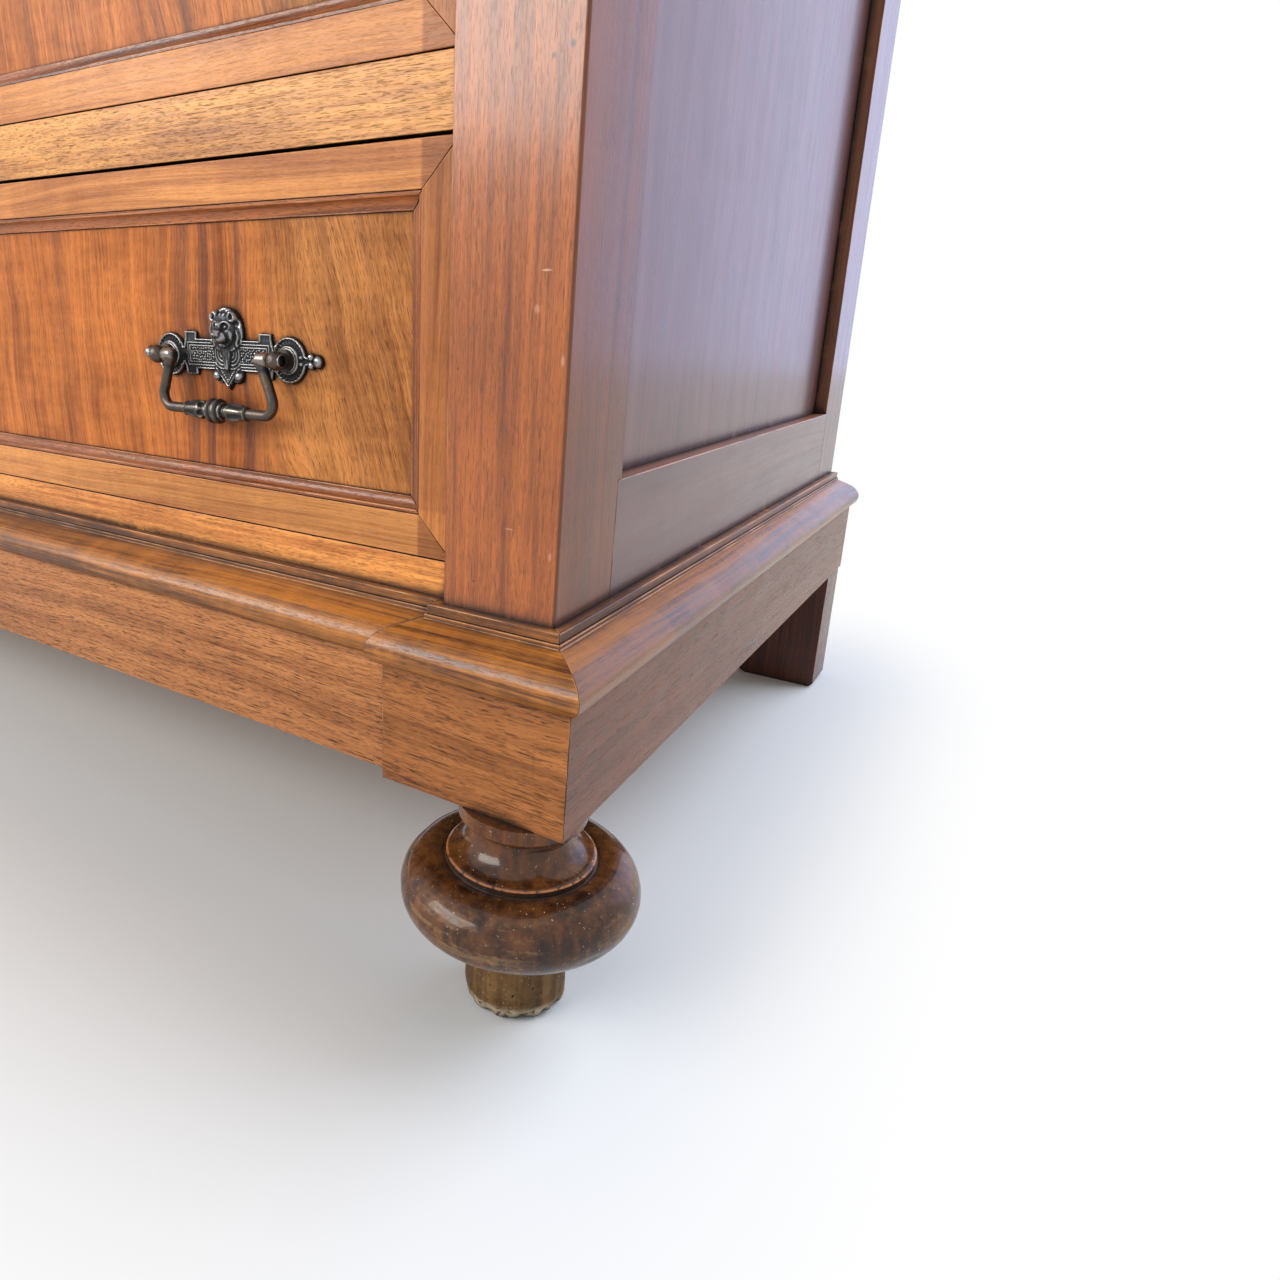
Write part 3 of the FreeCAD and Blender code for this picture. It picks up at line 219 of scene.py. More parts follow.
def walnut(name, pale, deep, vein=UMBER, streak=60, figure=0.1, veins=0.5, pores=1.0, grit=0.0,
           gloss=0.34, polish=0.1, shine=0.25, painted_sky_tint=None, sheen=None, wear_and_highlight=None,
           ramp=(0.30, 0.72), marks=None):
    """Polished walnut, from deep to pale by a sum of noises. Long streaks run along the grain and
    wander; dark veins, short pores and fine lines follow them; figure is the ripple across the
    grain, and grit the coarse open pores. Faces that look sideways are multiplied by a cool tone,
    a painted reflection of the sky, and have sheen for polish. The arris tone, in patches, is
    partly rubbed wear and partly a painted highlight, and marks adds a piece's own stains and
    bruises."""
    f = Finish(name)
    board = f.carried("grain")
    drift = f.grained(board, 2.4, 9) - 0.5
    bent = board[0], board[1] + drift * 0.03, board[2]
    streaks = f.grained(bent, 1.6, streak, 5, 0.6)
    bands = f.grained(bent, 0.9, 19, 3)
    blotch = f.grained(board, 11, 17, 3, 0.6)
    ripple = f.grained(bent, 80, 14, 3, 0.55)
    lines = f.grained(bent, 7, 480, 3, 0.65)
    flecks = f.grained(bent, 170, 2100, 1)
    dashes = f.grained(bent, 70, 1250)
    light = (streaks * 0.7 + blotch * 0.25 + ripple * figure + lines * 0.6 + flecks * 0.22
             - 0.385 - figure * 0.5)
    wood = f.mix(f.rise(light, *ramp), deep, pale)
    dark = f.rise(bands * 0.65 + streaks * 0.35, 0.53, 0.68) * veins
    wood = f.mix(dark, wood, vein)
    pore = f.rise(flecks, 0.55, 0.68) * 0.65 * pores + f.rise(dashes, 0.58, 0.67) * grit
    if painted_sky_tint:
        aside = f.rise(abs(f.parts(f.put("NewGeometry", out="True Normal"))[0]), 0.15, 0.5)
        pore = pore * (1 - aside * 0.5)
        polish = aside * (sheen - polish) + polish
    wood = f.mix(pore * (0.5 + bands * 0.6), wood, vein)
    if marks:
        wood = marks(f, wood)
    # Sideways faces cooled: a painted reflection of the sky
    if painted_sky_tint:
        wood = f.mix(aside, wood, f.mix(0.88, wood, painted_sky_tint, "MULTIPLY"))
    # Arris tone in patches: rubbed wear and a painted highlight
    if wear_and_highlight:
        rubbed_and_lit = f.rise(f.grained(board, 26, 60, 4), 0.42, 0.62) * 0.6
        wood = f.mix(rubbed_and_lit, wood, wear_and_highlight)
    scuff = f.grained(board, 30, 90, 4, 0.7)
    rough = scuff * 0.20 + (gloss - 0.10) + pore * 0.3 + (lines - 0.5) * 0.4
    height = lines * 0.25 + streaks * 0.2 - pore
    return polished(f, wood, height, rough, polish, shine)


# Where the veneer changes, by distance from the chest's middle: the golden brown outside, the
# dark streaks behind a handle, and fainter ones further in
GOLDEN = (0.325, 0.39)
BEHIND = (0.255, 0.29), (0.385, 0.34)
FURTHER = (0.12, 0.14), (0.215, 0.175)


def book_veneer(name, wear_and_highlight=None):
    """The drawer fields: one book-matched walnut veneer that runs on from drawer to drawer, the
    same each side of the middle. Bright and flamed inside, dark streaks behind the handles, and
    golden brown with leaning pores outside. The tone goes from dark to bright by a sum of noises,
    and streaks darken it by their own noise times the share of the place they are in."""
    f = Finish(name)
    x, _, z = f.place()
    x = abs(x)
    outside = f.rise(x, *GOLDEN)
    drift = f.cloud(x * 6, z * 6, 0.7, 3) - 0.5
    bent = x + drift * 0.045 + (z - 0.35) * outside * 0.24
    streaks = f.cloud(bent * 120, z * 1.8, 3.1, 5, 0.62)
    bands = f.cloud(bent * 130, z * 1.4, 9.3, 4, 0.6)
    flame = f.cloud(bent * 24, z * 14, 5.2, 4, 0.6)
    curl = f.cloud(bent * 40, z * 150, 8.8, 3, 0.55)
    fine = f.cloud(bent * 620, z * 10, 1.7, 3, 0.65)
    pores = f.cloud(bent * 2300, z * 190, 4.4, 1)
    dashes = f.cloud(bent * 1600, z * 150, 6.1, 2)
    light = f.rise(streaks * 0.6 + flame * 0.5 + curl * 0.2 + fine * 0.45 - 0.375, 0.2, 0.8)
    inner = f.mix(light, tint(122, 62, 29), tint(230, 137, 68))
    outer = f.mix(light, tint(120, 70, 35), tint(229, 155, 86))
    wood = f.mix(outside * 0.8, inner, outer)
    behind = f.band(x, *BEHIND)
    further = f.band(x, *FURTHER) * 0.7
    share = behind + further * (1 - behind) + outside * 0.4 + 0.08
    dark = f.rise(streaks * 0.45 + bands * 0.55, 0.46, 0.6) * share
    wood = f.mix(dark * 0.62, wood, tint(86, 54, 50))
    pore = f.rise(pores, 0.56, 0.70) * 0.35 + f.rise(dashes, 0.57, 0.67) * (outside * 0.4 + 0.06)
    wood = f.mix(pore, wood, UMBER)
    # Arris tone: rubbed wear and a painted highlight
    if wear_and_highlight:
        wood = f.mix(0.3, wood, wear_and_highlight)
    rough = f.cloud(x * 90, z * 30, 2.0, 4, 0.7) * 0.20 + 0.26
    # Heavier corner dust and painted shade, where the strip closes in on the field
    return polished(f, wood, fine * 0.1 - pore, rough, 0.05, 0.1, dirt_and_shade=1.6)


def bruises(front, reach, *spots):
    """Small stains and scratches on a face at y = front that go reach mm in. Each has its place
    and half sizes in mm, across and up, a tone and how full the tone is."""
    def marks(f, wood):
        """The wood with each tone mixed in near its place."""
        for across, up, wide, tall, tone, full in spots:
            place = Vector((across, front, up)) * MM
            wood = f.mix(f.near(place, Vector((wide, reach, tall)) * MM) * full, wood, tone)
        return wood
    return marks


# The inner edge of the drawer frames' uprights, by distance from the middle, and the heights of
# the lowest frame member's top and of the space between the two lowest rails
UPRIGHT_FROM = (0.4515, 0.4535)
LOW_MEMBER = (0.232, 0.230)
LOW_RAIL = (0.32, 0.28)


def frame_tones(f, wood):
    """The drawer frames' uprights are redder and deeper than their level members, and the lowest
    member of all is paler: each is multiplied by a tone."""
    x, _, z = f.place()
    wood = f.mix(f.rise(z, *LOW_MEMBER), wood, (1.24, 1.28, 1.22, 1), "MULTIPLY")
    return f.mix(f.rise(abs(x), *UPRIGHT_FROM), wood, tint(206, 194, 194), "MULTIPLY")


def low_rail(f, wood):
    """The rail under the lowest drawer is of a redder board: it is multiplied by a tone."""
    z = f.place()[2]
    return f.mix(f.rise(z, *LOW_RAIL), wood, (1.2, 1.06, 0.96, 1), "MULTIPLY")


POST_BRUISES = bruises(
    -245, 3,
    (524, 410.2, 1.6, 2.2, HOLE, 0.9),
    (516.6, 407.3, 1, 1.6, HOLE, 0.8),
    (518, 334.5, 3, 0.6, CHALK, 0.6),
    (514.5, 320.2, 1.6, 2.4, CHALK, 0.25),
    (527, 301, 1.2, 3, CHALK, 0.28),
    (519, 263.8, 0.7, 5, HOLE, 0.5),
    (497, 372, 0.6, 9, HOLE, 0.3),
    (506, 231, 3, 0.6, CHALK, 0.25),
    (526, 222, 0.9, 2.6, CHALK, 0.3),
    (478, 296, 0.8, 0.8, HOLE, 0.7),
    (489, 205, 0.9, 0.9, HOLE, 0.7),
)
PLINTH_BRUISES = bruises(
    -259, 9,
    (534, 137, 2.2, 17, UMBER, 0.55),
    (489, 126, 0.9, 1.4, CHALK, 0.5),
    (505, 151, 3.6, 0.5, HOLE, 0.5),
)

WOODS = {
    "post": dict(
        pale=tint(202, 110, 40), deep=tint(102, 45, 13), streak=110, veins=0.3, pores=0.8, grit=0.3,
        polish=0.8, shine=0.3, painted_sky_tint=PAINTED_SKY_SHEEN, sheen=0.55, ramp=(0.16, 0.8), marks=POST_BRUISES),
    "rail": dict(
        pale=tint(246, 174, 94), deep=tint(163, 97, 44), streak=80, veins=0.3, grit=0.34,
        polish=0.12, shine=0.28, ramp=(0.26, 0.68), marks=low_rail),
    "frame": dict(
        pale=tint(240, 161, 90), deep=tint(159, 90, 42), figure=0.14, veins=0.4, pores=0.5,
        grit=0.16, polish=0.12, shine=0.2, ramp=(0.26, 0.74), marks=frame_tones),
    "strip": dict(pale=tint(188, 108, 54), deep=tint(94, 46, 22), polish=0.3, gloss=0.26),
    "moulding": dict(
        pale=tint(204, 128, 50), deep=tint(86, 46, 16), vein=tint(48, 24, 12), streak=55,
        figure=0.2, veins=0.4, pores=0.6, polish=0.14, gloss=0.32, shine=0.4, painted_sky_tint=PAINTED_SKY_SHEEN,
        sheen=0.3, ramp=(0.32, 0.68)),
    "plinth": dict(
        pale=tint(196, 124, 66), deep=tint(106, 58, 26), vein=tint(46, 24, 14), streak=110,
        veins=0.2, grit=0.7, polish=0.12, shine=0.2, painted_sky_tint=PAINTED_SKY_SHEEN, sheen=0.18, ramp=(0.1, 0.84),
        marks=PLINTH_BRUISES),
    "top": dict(
        pale=tint(186, 112, 62), deep=tint(104, 54, 28), figure=0.3, polish=0.4, shine=0.4),
    "side": dict(
        pale=tint(163, 109, 81), deep=tint(107, 67, 50), streak=70, veins=0.2, pores=0.3,
        painted_sky_tint=PAINTED_SKY_SHEEN, sheen=0.62, ramp=(0.2, 0.8)),
    "stained": dict(
        pale=tint(104, 52, 32), deep=tint(46, 22, 16), vein=tint(26, 14, 12), streak=50,
        polish=0.3),
    "pine": dict(
        pale=tint(212, 172, 120), deep=tint(176, 130, 82), vein=tint(130, 88, 52), streak=34,
        veins=0.3, pores=0.15, gloss=0.6, polish=0.0, ramp=(0.15, 0.8)),
}
WOODS["plinth_board"] = {
    **WOODS["plinth"], "pale": tint(222, 148, 88), "deep": tint(134, 76, 38), "marks": None}
# Second finish of each wood, for the eased arrises: worn and with a painted highlight
FINISHES = {name: (walnut(name + "_timber", **wood), walnut(name + "_arris", wear_and_highlight=ARRIS_WEAR_AND_HIGHLIGHT, **wood))
            for name, wood in WOODS.items()}
FINISHES["veneer"] = book_veneer("book_matched_veneer"), book_veneer("veneer_arris", ARRIS_WEAR_AND_HIGHLIGHT)

WOOD_OF = (
    ("plinth_front_board", "plinth_board"), ("front_post", "post"), ("front_rails", "rail"),
    ("front_frame", "frame"), ("front_board", "veneer"), ("field_moulding", "strip"),
    ("base_moulding", "moulding"), ("base_fillets", "moulding"), ("plinth_backing", "pine"),
    ("plinth", "plinth"), ("side_panel", "side"), ("side_rails", "side"), ("rear_posts", "side"),
    ("top_board", "top"), ("feet", "stained"), ("", "pine"),
)


def wood_of(node):
    """The finish of the first row whose words are in the node's name."""
    return FINISHES[next(wood for words, wood in WOOD_OF if words in node)]


# Heights on a front foot in metres, each from where a tone starts to where it is full
NECK = (0.080, 0.096)
LIP = (0.0784, 0.0787), (0.0794, 0.0791)
DUSTY = (0.047, 0.052), (0.0765, 0.070)
FLAKED = (0.066, 0.050)
BARE = (0.047, 0.0445)
WORM_HOLES = (0.047, 0.044)
BROKEN = (0.0155, 0.0105)


def turned_foot(name):
    """The foot: amber at the neck, dark stain on the bun with dust and rubbed patches, and a bare
    ochre peg with streaks and worm holes, pale where its lower edge has broken away. Each is mixed
    in by its height times a noise."""
    f = Finish(name)
    x, y, z = f.place()
    streaks = f.grained(f.carried("grain"), 9, 160, 5, 0.6)
    clouds = f.cloud(x * 24, y * 24, z * 40, 5, 0.6)
    small = f.cloud(x * 240, y * 240, z * 330, 4, 0.65)
    rings = f.cloud(x * 14, y * 14, z * 260, 4, 0.6)
    light = f.rise(streaks * 0.5 + clouds * 0.5 + small * 0.2 - 0.1, 0.34, 0.70)
    bun = f.mix(light, tint(36, 18, 12), tint(114, 68, 32))
    neck = f.mix(light, tint(58, 28, 6), tint(136, 76, 18))
    peg = f.mix(light, tint(68, 46, 25), tint(136, 102, 60))
    wood = f.mix(f.rise(z, *NECK), bun, neck)
    lip = f.band(z, *LIP) * f.rise(small, 0.36, 0.50)
    dusty = f.rise(rings * 0.5 + clouds * 0.3 + small * 0.2, 0.50, 0.58) * f.band(z, *DUSTY)
    wood = f.mix(dusty * 0.6, wood, tint(146, 118, 84))
    flakes = f.rise(small * 0.7 + clouds * 0.3, 0.56, 0.62) * f.rise(z, *FLAKED)
    wood = f.mix(flakes * 0.65, wood, tint(192, 132, 66))
    bare = f.rise(z, *BARE)
    wood = f.mix(bare, wood, peg)
    pit = f.rise(f.cloud(x * 420, y * 420, z * 300, 1), 0.70, 0.76) * f.rise(z, *WORM_HOLES)
    broken = f.rise(z + clouds * 0.016, *BROKEN) * f.rise(small, 0.36, 0.48)
    wood = f.mix(pit, wood, HOLE)
    wood = f.mix(broken * 0.85, wood, tint(214, 198, 168))
    speck = f.rise(f.cloud(x * 900, y * 900, z * 900, 1), 0.735, 0.77)
    wood = f.mix(speck * 0.7, wood, tint(214, 206, 194))
    wood = f.mix(lip * 0.7, wood, tint(190, 118, 68))
    rough = small * 0.25 + 0.14 + dusty * 0.35 + bare * 0.3
    coat = 0.45 - dusty * 0.35 - bare * 0.45
    height = small * 0.6 + streaks * 0.3 - pit * 2 - broken
    return polished(f, wood, height, rough, coat, 0.2, dirt_and_shade=(1 - lip) * 0.9, mirror=0.07)


TURNED = turned_foot("stained_turned_foot")


def patina(name, cool, warm, bright, grip):
    """Old cast brass under a grey-brown skin from cool to warm: black grime in the hollows, and
    bright ridges, partly rubbed by hands and cloths and partly a painted highlight. Both go by the
    attribute stand, a point's height over its surroundings; a ridge is full bright where stand
    reaches grip."""
    f = Finish(name)
    x, y, z = f.place()
    stand = f.carried("stand")[0]
    spots = f.cloud(x * 700, y * 700, z * 700, 4, 0.6)
    cloudy = f.cloud(x * 90, y * 90, z * 90, 3)
    skin = f.mix(f.rise(cloudy, 0.3, 0.7), cool, warm)
    skin = f.mix(f.rise(spots, 0.58, 0.72) * 0.35, skin, bright)
    rubbed_lit_ridge = f.rise(stand + (spots - 0.5) * 0.2, grip * 0.35, grip)
    hollow = f.rise(stand + (spots - 0.5) * 0.12, 0.0, -0.22)
    # Bright ridges: rubbed brass and a painted highlight
    skin = f.mix(rubbed_lit_ridge * 0.78, skin, bright)
    skin = f.mix(hollow * 0.95, skin, tint(12, 11, 12))
    rough = 0.36 + (spots - 0.5) * 0.3 - rubbed_lit_ridge * 0.14 + hollow * 0.3
    return f.surface(spots, 0.15 * MM, {
        "Base Color": skin, "Roughness": rough, "Metallic": 0.92 - hollow * 0.6})


PLATE_METAL = patina(
    "dark_plate_brass", tint(50, 54, 62), tint(68, 66, 66), tint(164, 162, 160), 0.36)
BAIL_METAL = patina(
    "handled_bail_brass", tint(70, 69, 72), tint(96, 83, 72), tint(146, 137, 128), 0.5)


# Pieces

def solids(node):
    """The node's corners and triangles, solid by solid. Corners at one place in one solid are
    merged. A solid ends at the triangle by which every edge so far has met its partner."""
    mesh = node.data
    mesh.calc_loop_triangles()
    spots = np.array([vertex.co for vertex in mesh.vertices])
    corners = np.array([triangle.vertices for triangle in mesh.loop_triangles])
    _, place = np.unique(np.round(spots * 1e6).astype(int), axis=0, return_inverse=True)
    place = place.reshape(-1)[corners]
    whole = (place != np.roll(place, 1, axis=1)).all(axis=1)
    place, corners = place[whole], corners[whole]
    owner = np.repeat(np.arange(len(place)), 3)
    size = place.max() + 1
    there = (place * size + np.roll(place, -1, axis=1)).reshape(-1)
    back = (np.roll(place, -1, axis=1) * size + place).reshape(-1)
    partner = np.zeros(len(owner), int)
    partner[np.lexsort((owner, there))] = owner[np.lexsort((owner, back))]
    reach = np.maximum.accumulate(np.maximum(owner, partner).reshape(-1, 3).max(axis=1))
    ends = reach == np.arange(len(place))
    solid = np.concatenate(([0], np.cumsum(ends)[:-1]))
    keys = np.repeat(solid, 3) * size + place.reshape(-1)
    kept, first, triangles = np.unique(keys, return_index=True, return_inverse=True)
    return spots[corners.reshape(-1)[first]], triangles.reshape(-1, 3), kept // size


def board_grain(points, solid, upright, rng):
    """Where each corner is in its own board: along its longest side, or upwards where the grain
    stands upright, then its next longest side, then its thickness. A random shift keeps any two
    boards from being twins."""
    grain = np.zeros_like(points)
    for index in range(solid.max() + 1):
        mine = solid == index
        low, high = points[mine].min(axis=0), points[mine].max(axis=0)
        order = np.argsort(low - high)
        if upright:
            order = np.concatenate(([2], order[order != 2]))
        grain[mine] = (points[mine] - low)[:, order] + rng.uniform(-4, 4, 3)
    return grain


def mesh_piece(name, points, faces, body, nodes=()):
    """A named piece in its place that rides on its body and stands for its nodes."""
    mesh = bpy.data.meshes.new(name)
    mesh.from_pydata(points[:, :3].tolist(), [], faces)
    mesh.shade_smooth()
    piece = placed(name, mesh)
    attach(piece, body)
    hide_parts(*nodes)
    return piece


def attribute(mesh, name, values):
    """Gives each corner of the mesh its three numbers, for a finish to read."""
    layer = mesh.attributes.new(name, "FLOAT_VECTOR", "POINT")
    layer.data.foreach_set("vector", values.reshape(-1))


def merge_flats(mesh):
    """Joins the triangles that lie in one plane, so that only real edges are left to round."""
    shape = bmesh.new()
    shape.from_mesh(mesh)
    bmesh.ops.dissolve_limit(shape, angle_limit=radians(0.5), verts=shape.verts, edges=shape.edges)
    shape.to_mesh(mesh)
    shape.free()


def round_edges(piece):
    """Eases the arrises and gives them the piece's second finish: worn, and a painted highlight."""
    bevel = piece.modifiers.new("eased_arris", "BEVEL")
    bevel.width = 0.5 * MM
    bevel.segments = 2
    bevel.limit_method = "ANGLE"
    bevel.angle_limit = radians(30)
    bevel.use_clamp_overlap = False
    bevel.harden_normals = True
    bevel.material = 1


def dress(name, node, body, rng, upright):
    """A timber piece: the node's solids with easy edges and each its own grain."""
    points, triangles, solid = solids(node)
    piece = mesh_piece(name + "_timber", points, triangles.tolist(), body, [name])
    attribute(piece.data, "grain", board_grain(points, solid, upright, rng))
    merge_flats(piece.data)
    for finish in wood_of(name):
        piece.data.materials.append(finish)
    round_edges(piece)


# Handles

# Each bail's pin axis in mm, by the bail's body
PIVOT = {joint["child"]: np.array(joint["pos_m"]) / MM
         for joint in BEHAVIOUR["joints"] if "pos_m" in joint}

# In mm from a handle's middle: how far its pins stand before the drawer's field, its posts to each
# side, the lion's middle up, and the wings' upper, lower and outer edges
PIN_OUT, POST_X, LION_UP = 10.8, 44.0, 12.4
WING_TOP, WING_BOTTOM, WING_END = 8.6, 7.0, 32.4

# In mm: the pitch of the plate's grid, the radius of its bolt holes, and how high its edge stands;
# then the rims of the bored posts, by radius, thickness and place beyond the post's middle
PITCH, BOLT_HOLE, EDGE_HIGH = 0.33, 2.5, 0.7
RIM, RIM_THICK, RIM_OUT = 2.75, 0.5, 3.95

# The plate's right half in mm about the middle of the pin axis, from the drop's tip up to the
# crown: across, up, and the bulge of the edge that follows
PLATE_EDGE = (
    (0, -17, 0), (3.8, -12.8, 0.5), (11, -9.6, 0.35), (10.4, -7, 0), (23.5, -7, 0),
    (23.5, -10, 0), (32.1, -10, -0.15), (33.6, -4.4, 0.725), (55, -2.6, 0),
    (56.8, -2, 0.9), (60.4, -2.4, 0.652), (66, 0, 0.652), (60.4, 2.4, 0.9), (56.8, 2, 0),
    (55, 2.6, 0.725), (33.6, 4.4, -0.15), (32.1, 12.2, 0), (23.5, 12.2, 0), (23.5, 8.6, 0),
    (11.6, 8.6, 0.51), (0, 24.6, 0),
)


def arc(start, end, bulge, spacing=0.2):
    """Points from start up to end on the arc whose bulge is the tangent of a quarter of its
    turn; complex numbers stand for places, and a turn about the centre is a product."""
    chord = end - start
    if not bulge:
        return start + chord * np.linspace(0, 1, int(abs(chord) / spacing) + 2)[:-1]
    centre = start + chord / 2 + 0.25j * chord * (1 / bulge - bulge)
    turn = 4 * np.arctan(bulge)
    steps = int(abs(turn * (start - centre)) / spacing) + 4
    return centre + (start - centre) * np.exp(1j * np.linspace(0, turn, steps)[:-1])


def spans(rows):
    """Each row's place, the next one's, and the bulge between them, for arc."""
    for (out, up, bulge), (far, high, _) in zip(rows, rows[1:]):
        yield complex(out, up), complex(far, high), bulge


def plate_outline():
    """The whole plate's edge: the right half, then its mirror image downwards."""
    right = np.concatenate([arc(*span) for span in spans(PLATE_EDGE)])
    left = -right.conjugate()[::-1]
    return np.concatenate([right, [complex(*PLATE_EDGE[-1][:2])], left[:-1]])


def inside(places, edge):
    """Even-odd rule: a place is inside where a line to its right crosses the edge an odd number
    of times."""
    ends = np.roll(edge, -1)
    crossed = np.zeros(places.shape, bool)
    for a, b in zip(edge, ends):
        if a.imag != b.imag:
            between = (a.imag > places.imag) != (b.imag > places.imag)
            at = a.real + (places.imag - a.imag) * (b.real - a.real) / (b.imag - a.imag)
            crossed ^= between & (places.real < at)
    return crossed


def nearest(places, edge):
    """The edge's point nearest to each place, a few thousand places at a time."""
    found = [edge[np.abs(batch[:, None] - edge[None, :]).argmin(axis=1)]
             for batch in np.array_split(places, len(places) // 3000 + 1)]
    return np.concatenate(found)


def dome(x, z, across, up, wide, tall, high, sharp=0.5):
    """A bump: high times one less the squared share of its radius, to the power sharp."""
    share = ((x - across) / wide) ** 2 + ((z - up) / tall) ** 2
    return high * np.clip(1 - share, 0, 1) ** sharp


def line(distance, half, high):
    """A rounded line: a squared cosine over half a width each side of where distance is 0."""
    return high * np.cos(np.clip(distance / half, -1, 1) * np.pi / 2) ** 2


def fade(value, low, high):
    """0 at low, 1 at high and smooth between."""
    share = np.clip((value - low) / (high - low), 0, 1)
    return share * share * (3 - 2 * share)


def pellets(x, z, cell, radius, high, seed):
    """Small domes, one in each square cell and shifted at random in it."""
    shift = np.random.default_rng(seed).uniform(0.22, 0.78, (2, 64, 64))
    best = np.full(x.shape, 9.0)
    column, row = np.floor(x / cell).astype(int), np.floor(z / cell).astype(int)
    for i in (-1, 0, 1):
        for j in (-1, 0, 1):
            a, b = (column + i) % 64, (row + j) % 64
            aside = x - (column + i + shift[0, a, b]) * cell
            above = z - (row + j + shift[1, a, b]) * cell
            best = np.minimum(best, np.hypot(aside, above))
    return high * np.clip(1 - (best / radius) ** 2, 0, 1) ** 0.5


def wings(x, z, rim):
    """Sunk wings with two raised frames and a field of pellets, and ears with a raised rim."""
    border = np.minimum(np.minimum(WING_TOP - z, z + WING_BOTTOM), WING_END - np.abs(x))
    height = 1.35 + line(rim - 0.5, 0.62, 0.95)
    height += line(border - 2.1, 0.55, 0.9) + line(border - 3.6, 0.5, 0.9)
    field = fade(border, 4.1, 4.5)
    return height + field * pellets(x, z, 1.45, 0.66, 0.75, 3) - field * 0.15


def shells(x, z, rim):
    """A shell round each post: a broad rim, slanting flutes above and below, a seat and rings for
    the post, a scroll ball in each notch, and a trefoil tip."""
    u = np.abs(x) - POST_X
    radius, turn = np.hypot(u, z), np.arctan2(z, u)
    height = 1.3 + line(rim - 0.8, 0.95, 1.15)
    flutes = np.cos(26 * turn - 1.5 * np.sign(z) * (radius - 7)) * 0.42
    flutes = flutes * fade(radius, 7.2, 7.8) * fade(11 - radius, 0.4, 1.2)
    height += flutes * fade(np.abs(z), 2.5, 4.5)
    height = np.where(radius < 7.6, 1.6 + fade(7.5 - radius, 0, 0.5) * 1.1, height)
    height += line(radius - 6.5, 0.6, 0.7) + fade(6.1 - radius, 0, 0.3)
    balls = (-8.8, 6.4, 1.6), (-8.8, -5.4, 1.6), (8.2, 1.6, 1.1), (8.2, -1.6, 1.1)
    for across, up, size in balls:
        height = np.maximum(height, 1.3 + dome(u, z, across, up, size, size, 1.6))
    tip = np.abs(x) - 55.5
    ball = 1.5 + dome(tip, z, 7.7, 0, 2.8, 2.8, 2.2) - line(tip - 5.6, 0.5, 0.6)
    scroll = dome(tip, np.abs(z), 3.1, 1.9, 2.1, 2, 1.5)
    return np.where(tip > 0.8, np.maximum(ball, 1.5 + scroll), height)


def lion(x, z):
    """The lion's head in relief: a domed face with round eyes in deep sockets under arched brows,
    a broad nose bridge down to a round muzzle that stands out furthest, with whisker pads and a
    dark mouth below it, raised cupped ears at the upper corners, and a mane whose tufts fan out
    over the crown and hang in thick locks at the sides."""
    side, up = np.abs(x), z - LION_UP
    reach, turn = np.hypot(x, up), np.arctan2(up, side)
    height = 1.7 + dome(x, up, 0, 0, 12.6, 12.8, 1.9)
    fan = np.cos(17 * turn + 0.8 * reach) * 0.26 + np.cos(9 * turn - 0.6 * reach) * 0.2
    height += fan * fade(reach, 7.6, 9.4) * fade(12.4 - reach, 0, 1.4) * fade(up, -1, 4)
    locks = np.cos(side * 2.1 + np.sin(up * 0.8) * 1.4) * 0.42
    height += locks * fade(side, 5.6, 7) * fade(-up, -3, 2)
    height += dome(x, up, 0, 1, 8, 8.8, 2.9)
    eye = np.hypot(side - 3.5, (up - 2.7) * 1.1)
    height += line(eye - 2.7, 0.9, 0.75) * fade(up, 2.6, 4.2)
    height -= dome(side, up, 3.5, 2.6, 2.2, 1.9, 1.2, 0.8)
    height += dome(side, up, 3.4, 2.5, 1.2, 1, 0.9, 0.6)
    height += dome(side, up, 5, -1.2, 2.8, 2.8, 0.7, 0.9)
    bridge = np.interp(up, (-2, 6), (2.7, 1.7))
    nose = 1.5 * np.clip(1 - (x / bridge) ** 2, 0, 1) ** 0.7
    height += nose * fade(up, -3, -1) * fade(7 - up, 0, 3.5)
    height += dome(x, up, 0, -2.7, 4.9, 4, 3.1)
    height += dome(side, up, 1.9, -3.5, 2.1, 1.9, 0.7, 0.6)
    height += dome(x, up, 0, -1.5, 2.3, 1.2, 0.9)
    height -= dome(side, up, 1.2, -2, 0.6, 0.5, 0.6, 0.7)
    height -= line(x, 0.34, 0.6) * fade(up, -5.4, -4.8) * fade(-up, 2, 2.8)
    mouth = up + 5.8 - 0.06 * side ** 2
    height -= line(mouth, 0.8, 1.6) * fade(4 - side, 0, 1.4)
    height += dome(x, up, 0, -7.4, 2.6, 1.6, 1.2, 0.6)
    ear = np.hypot(side - 6.6, up - 7.6)
    cup = 4.9 - 1.5 * fade(ear, 1.9, 0.6) - 0.8 * fade(ear, 2.3, 3.1)
    return np.where(ear < 3.1, np.maximum(height, cup), height)


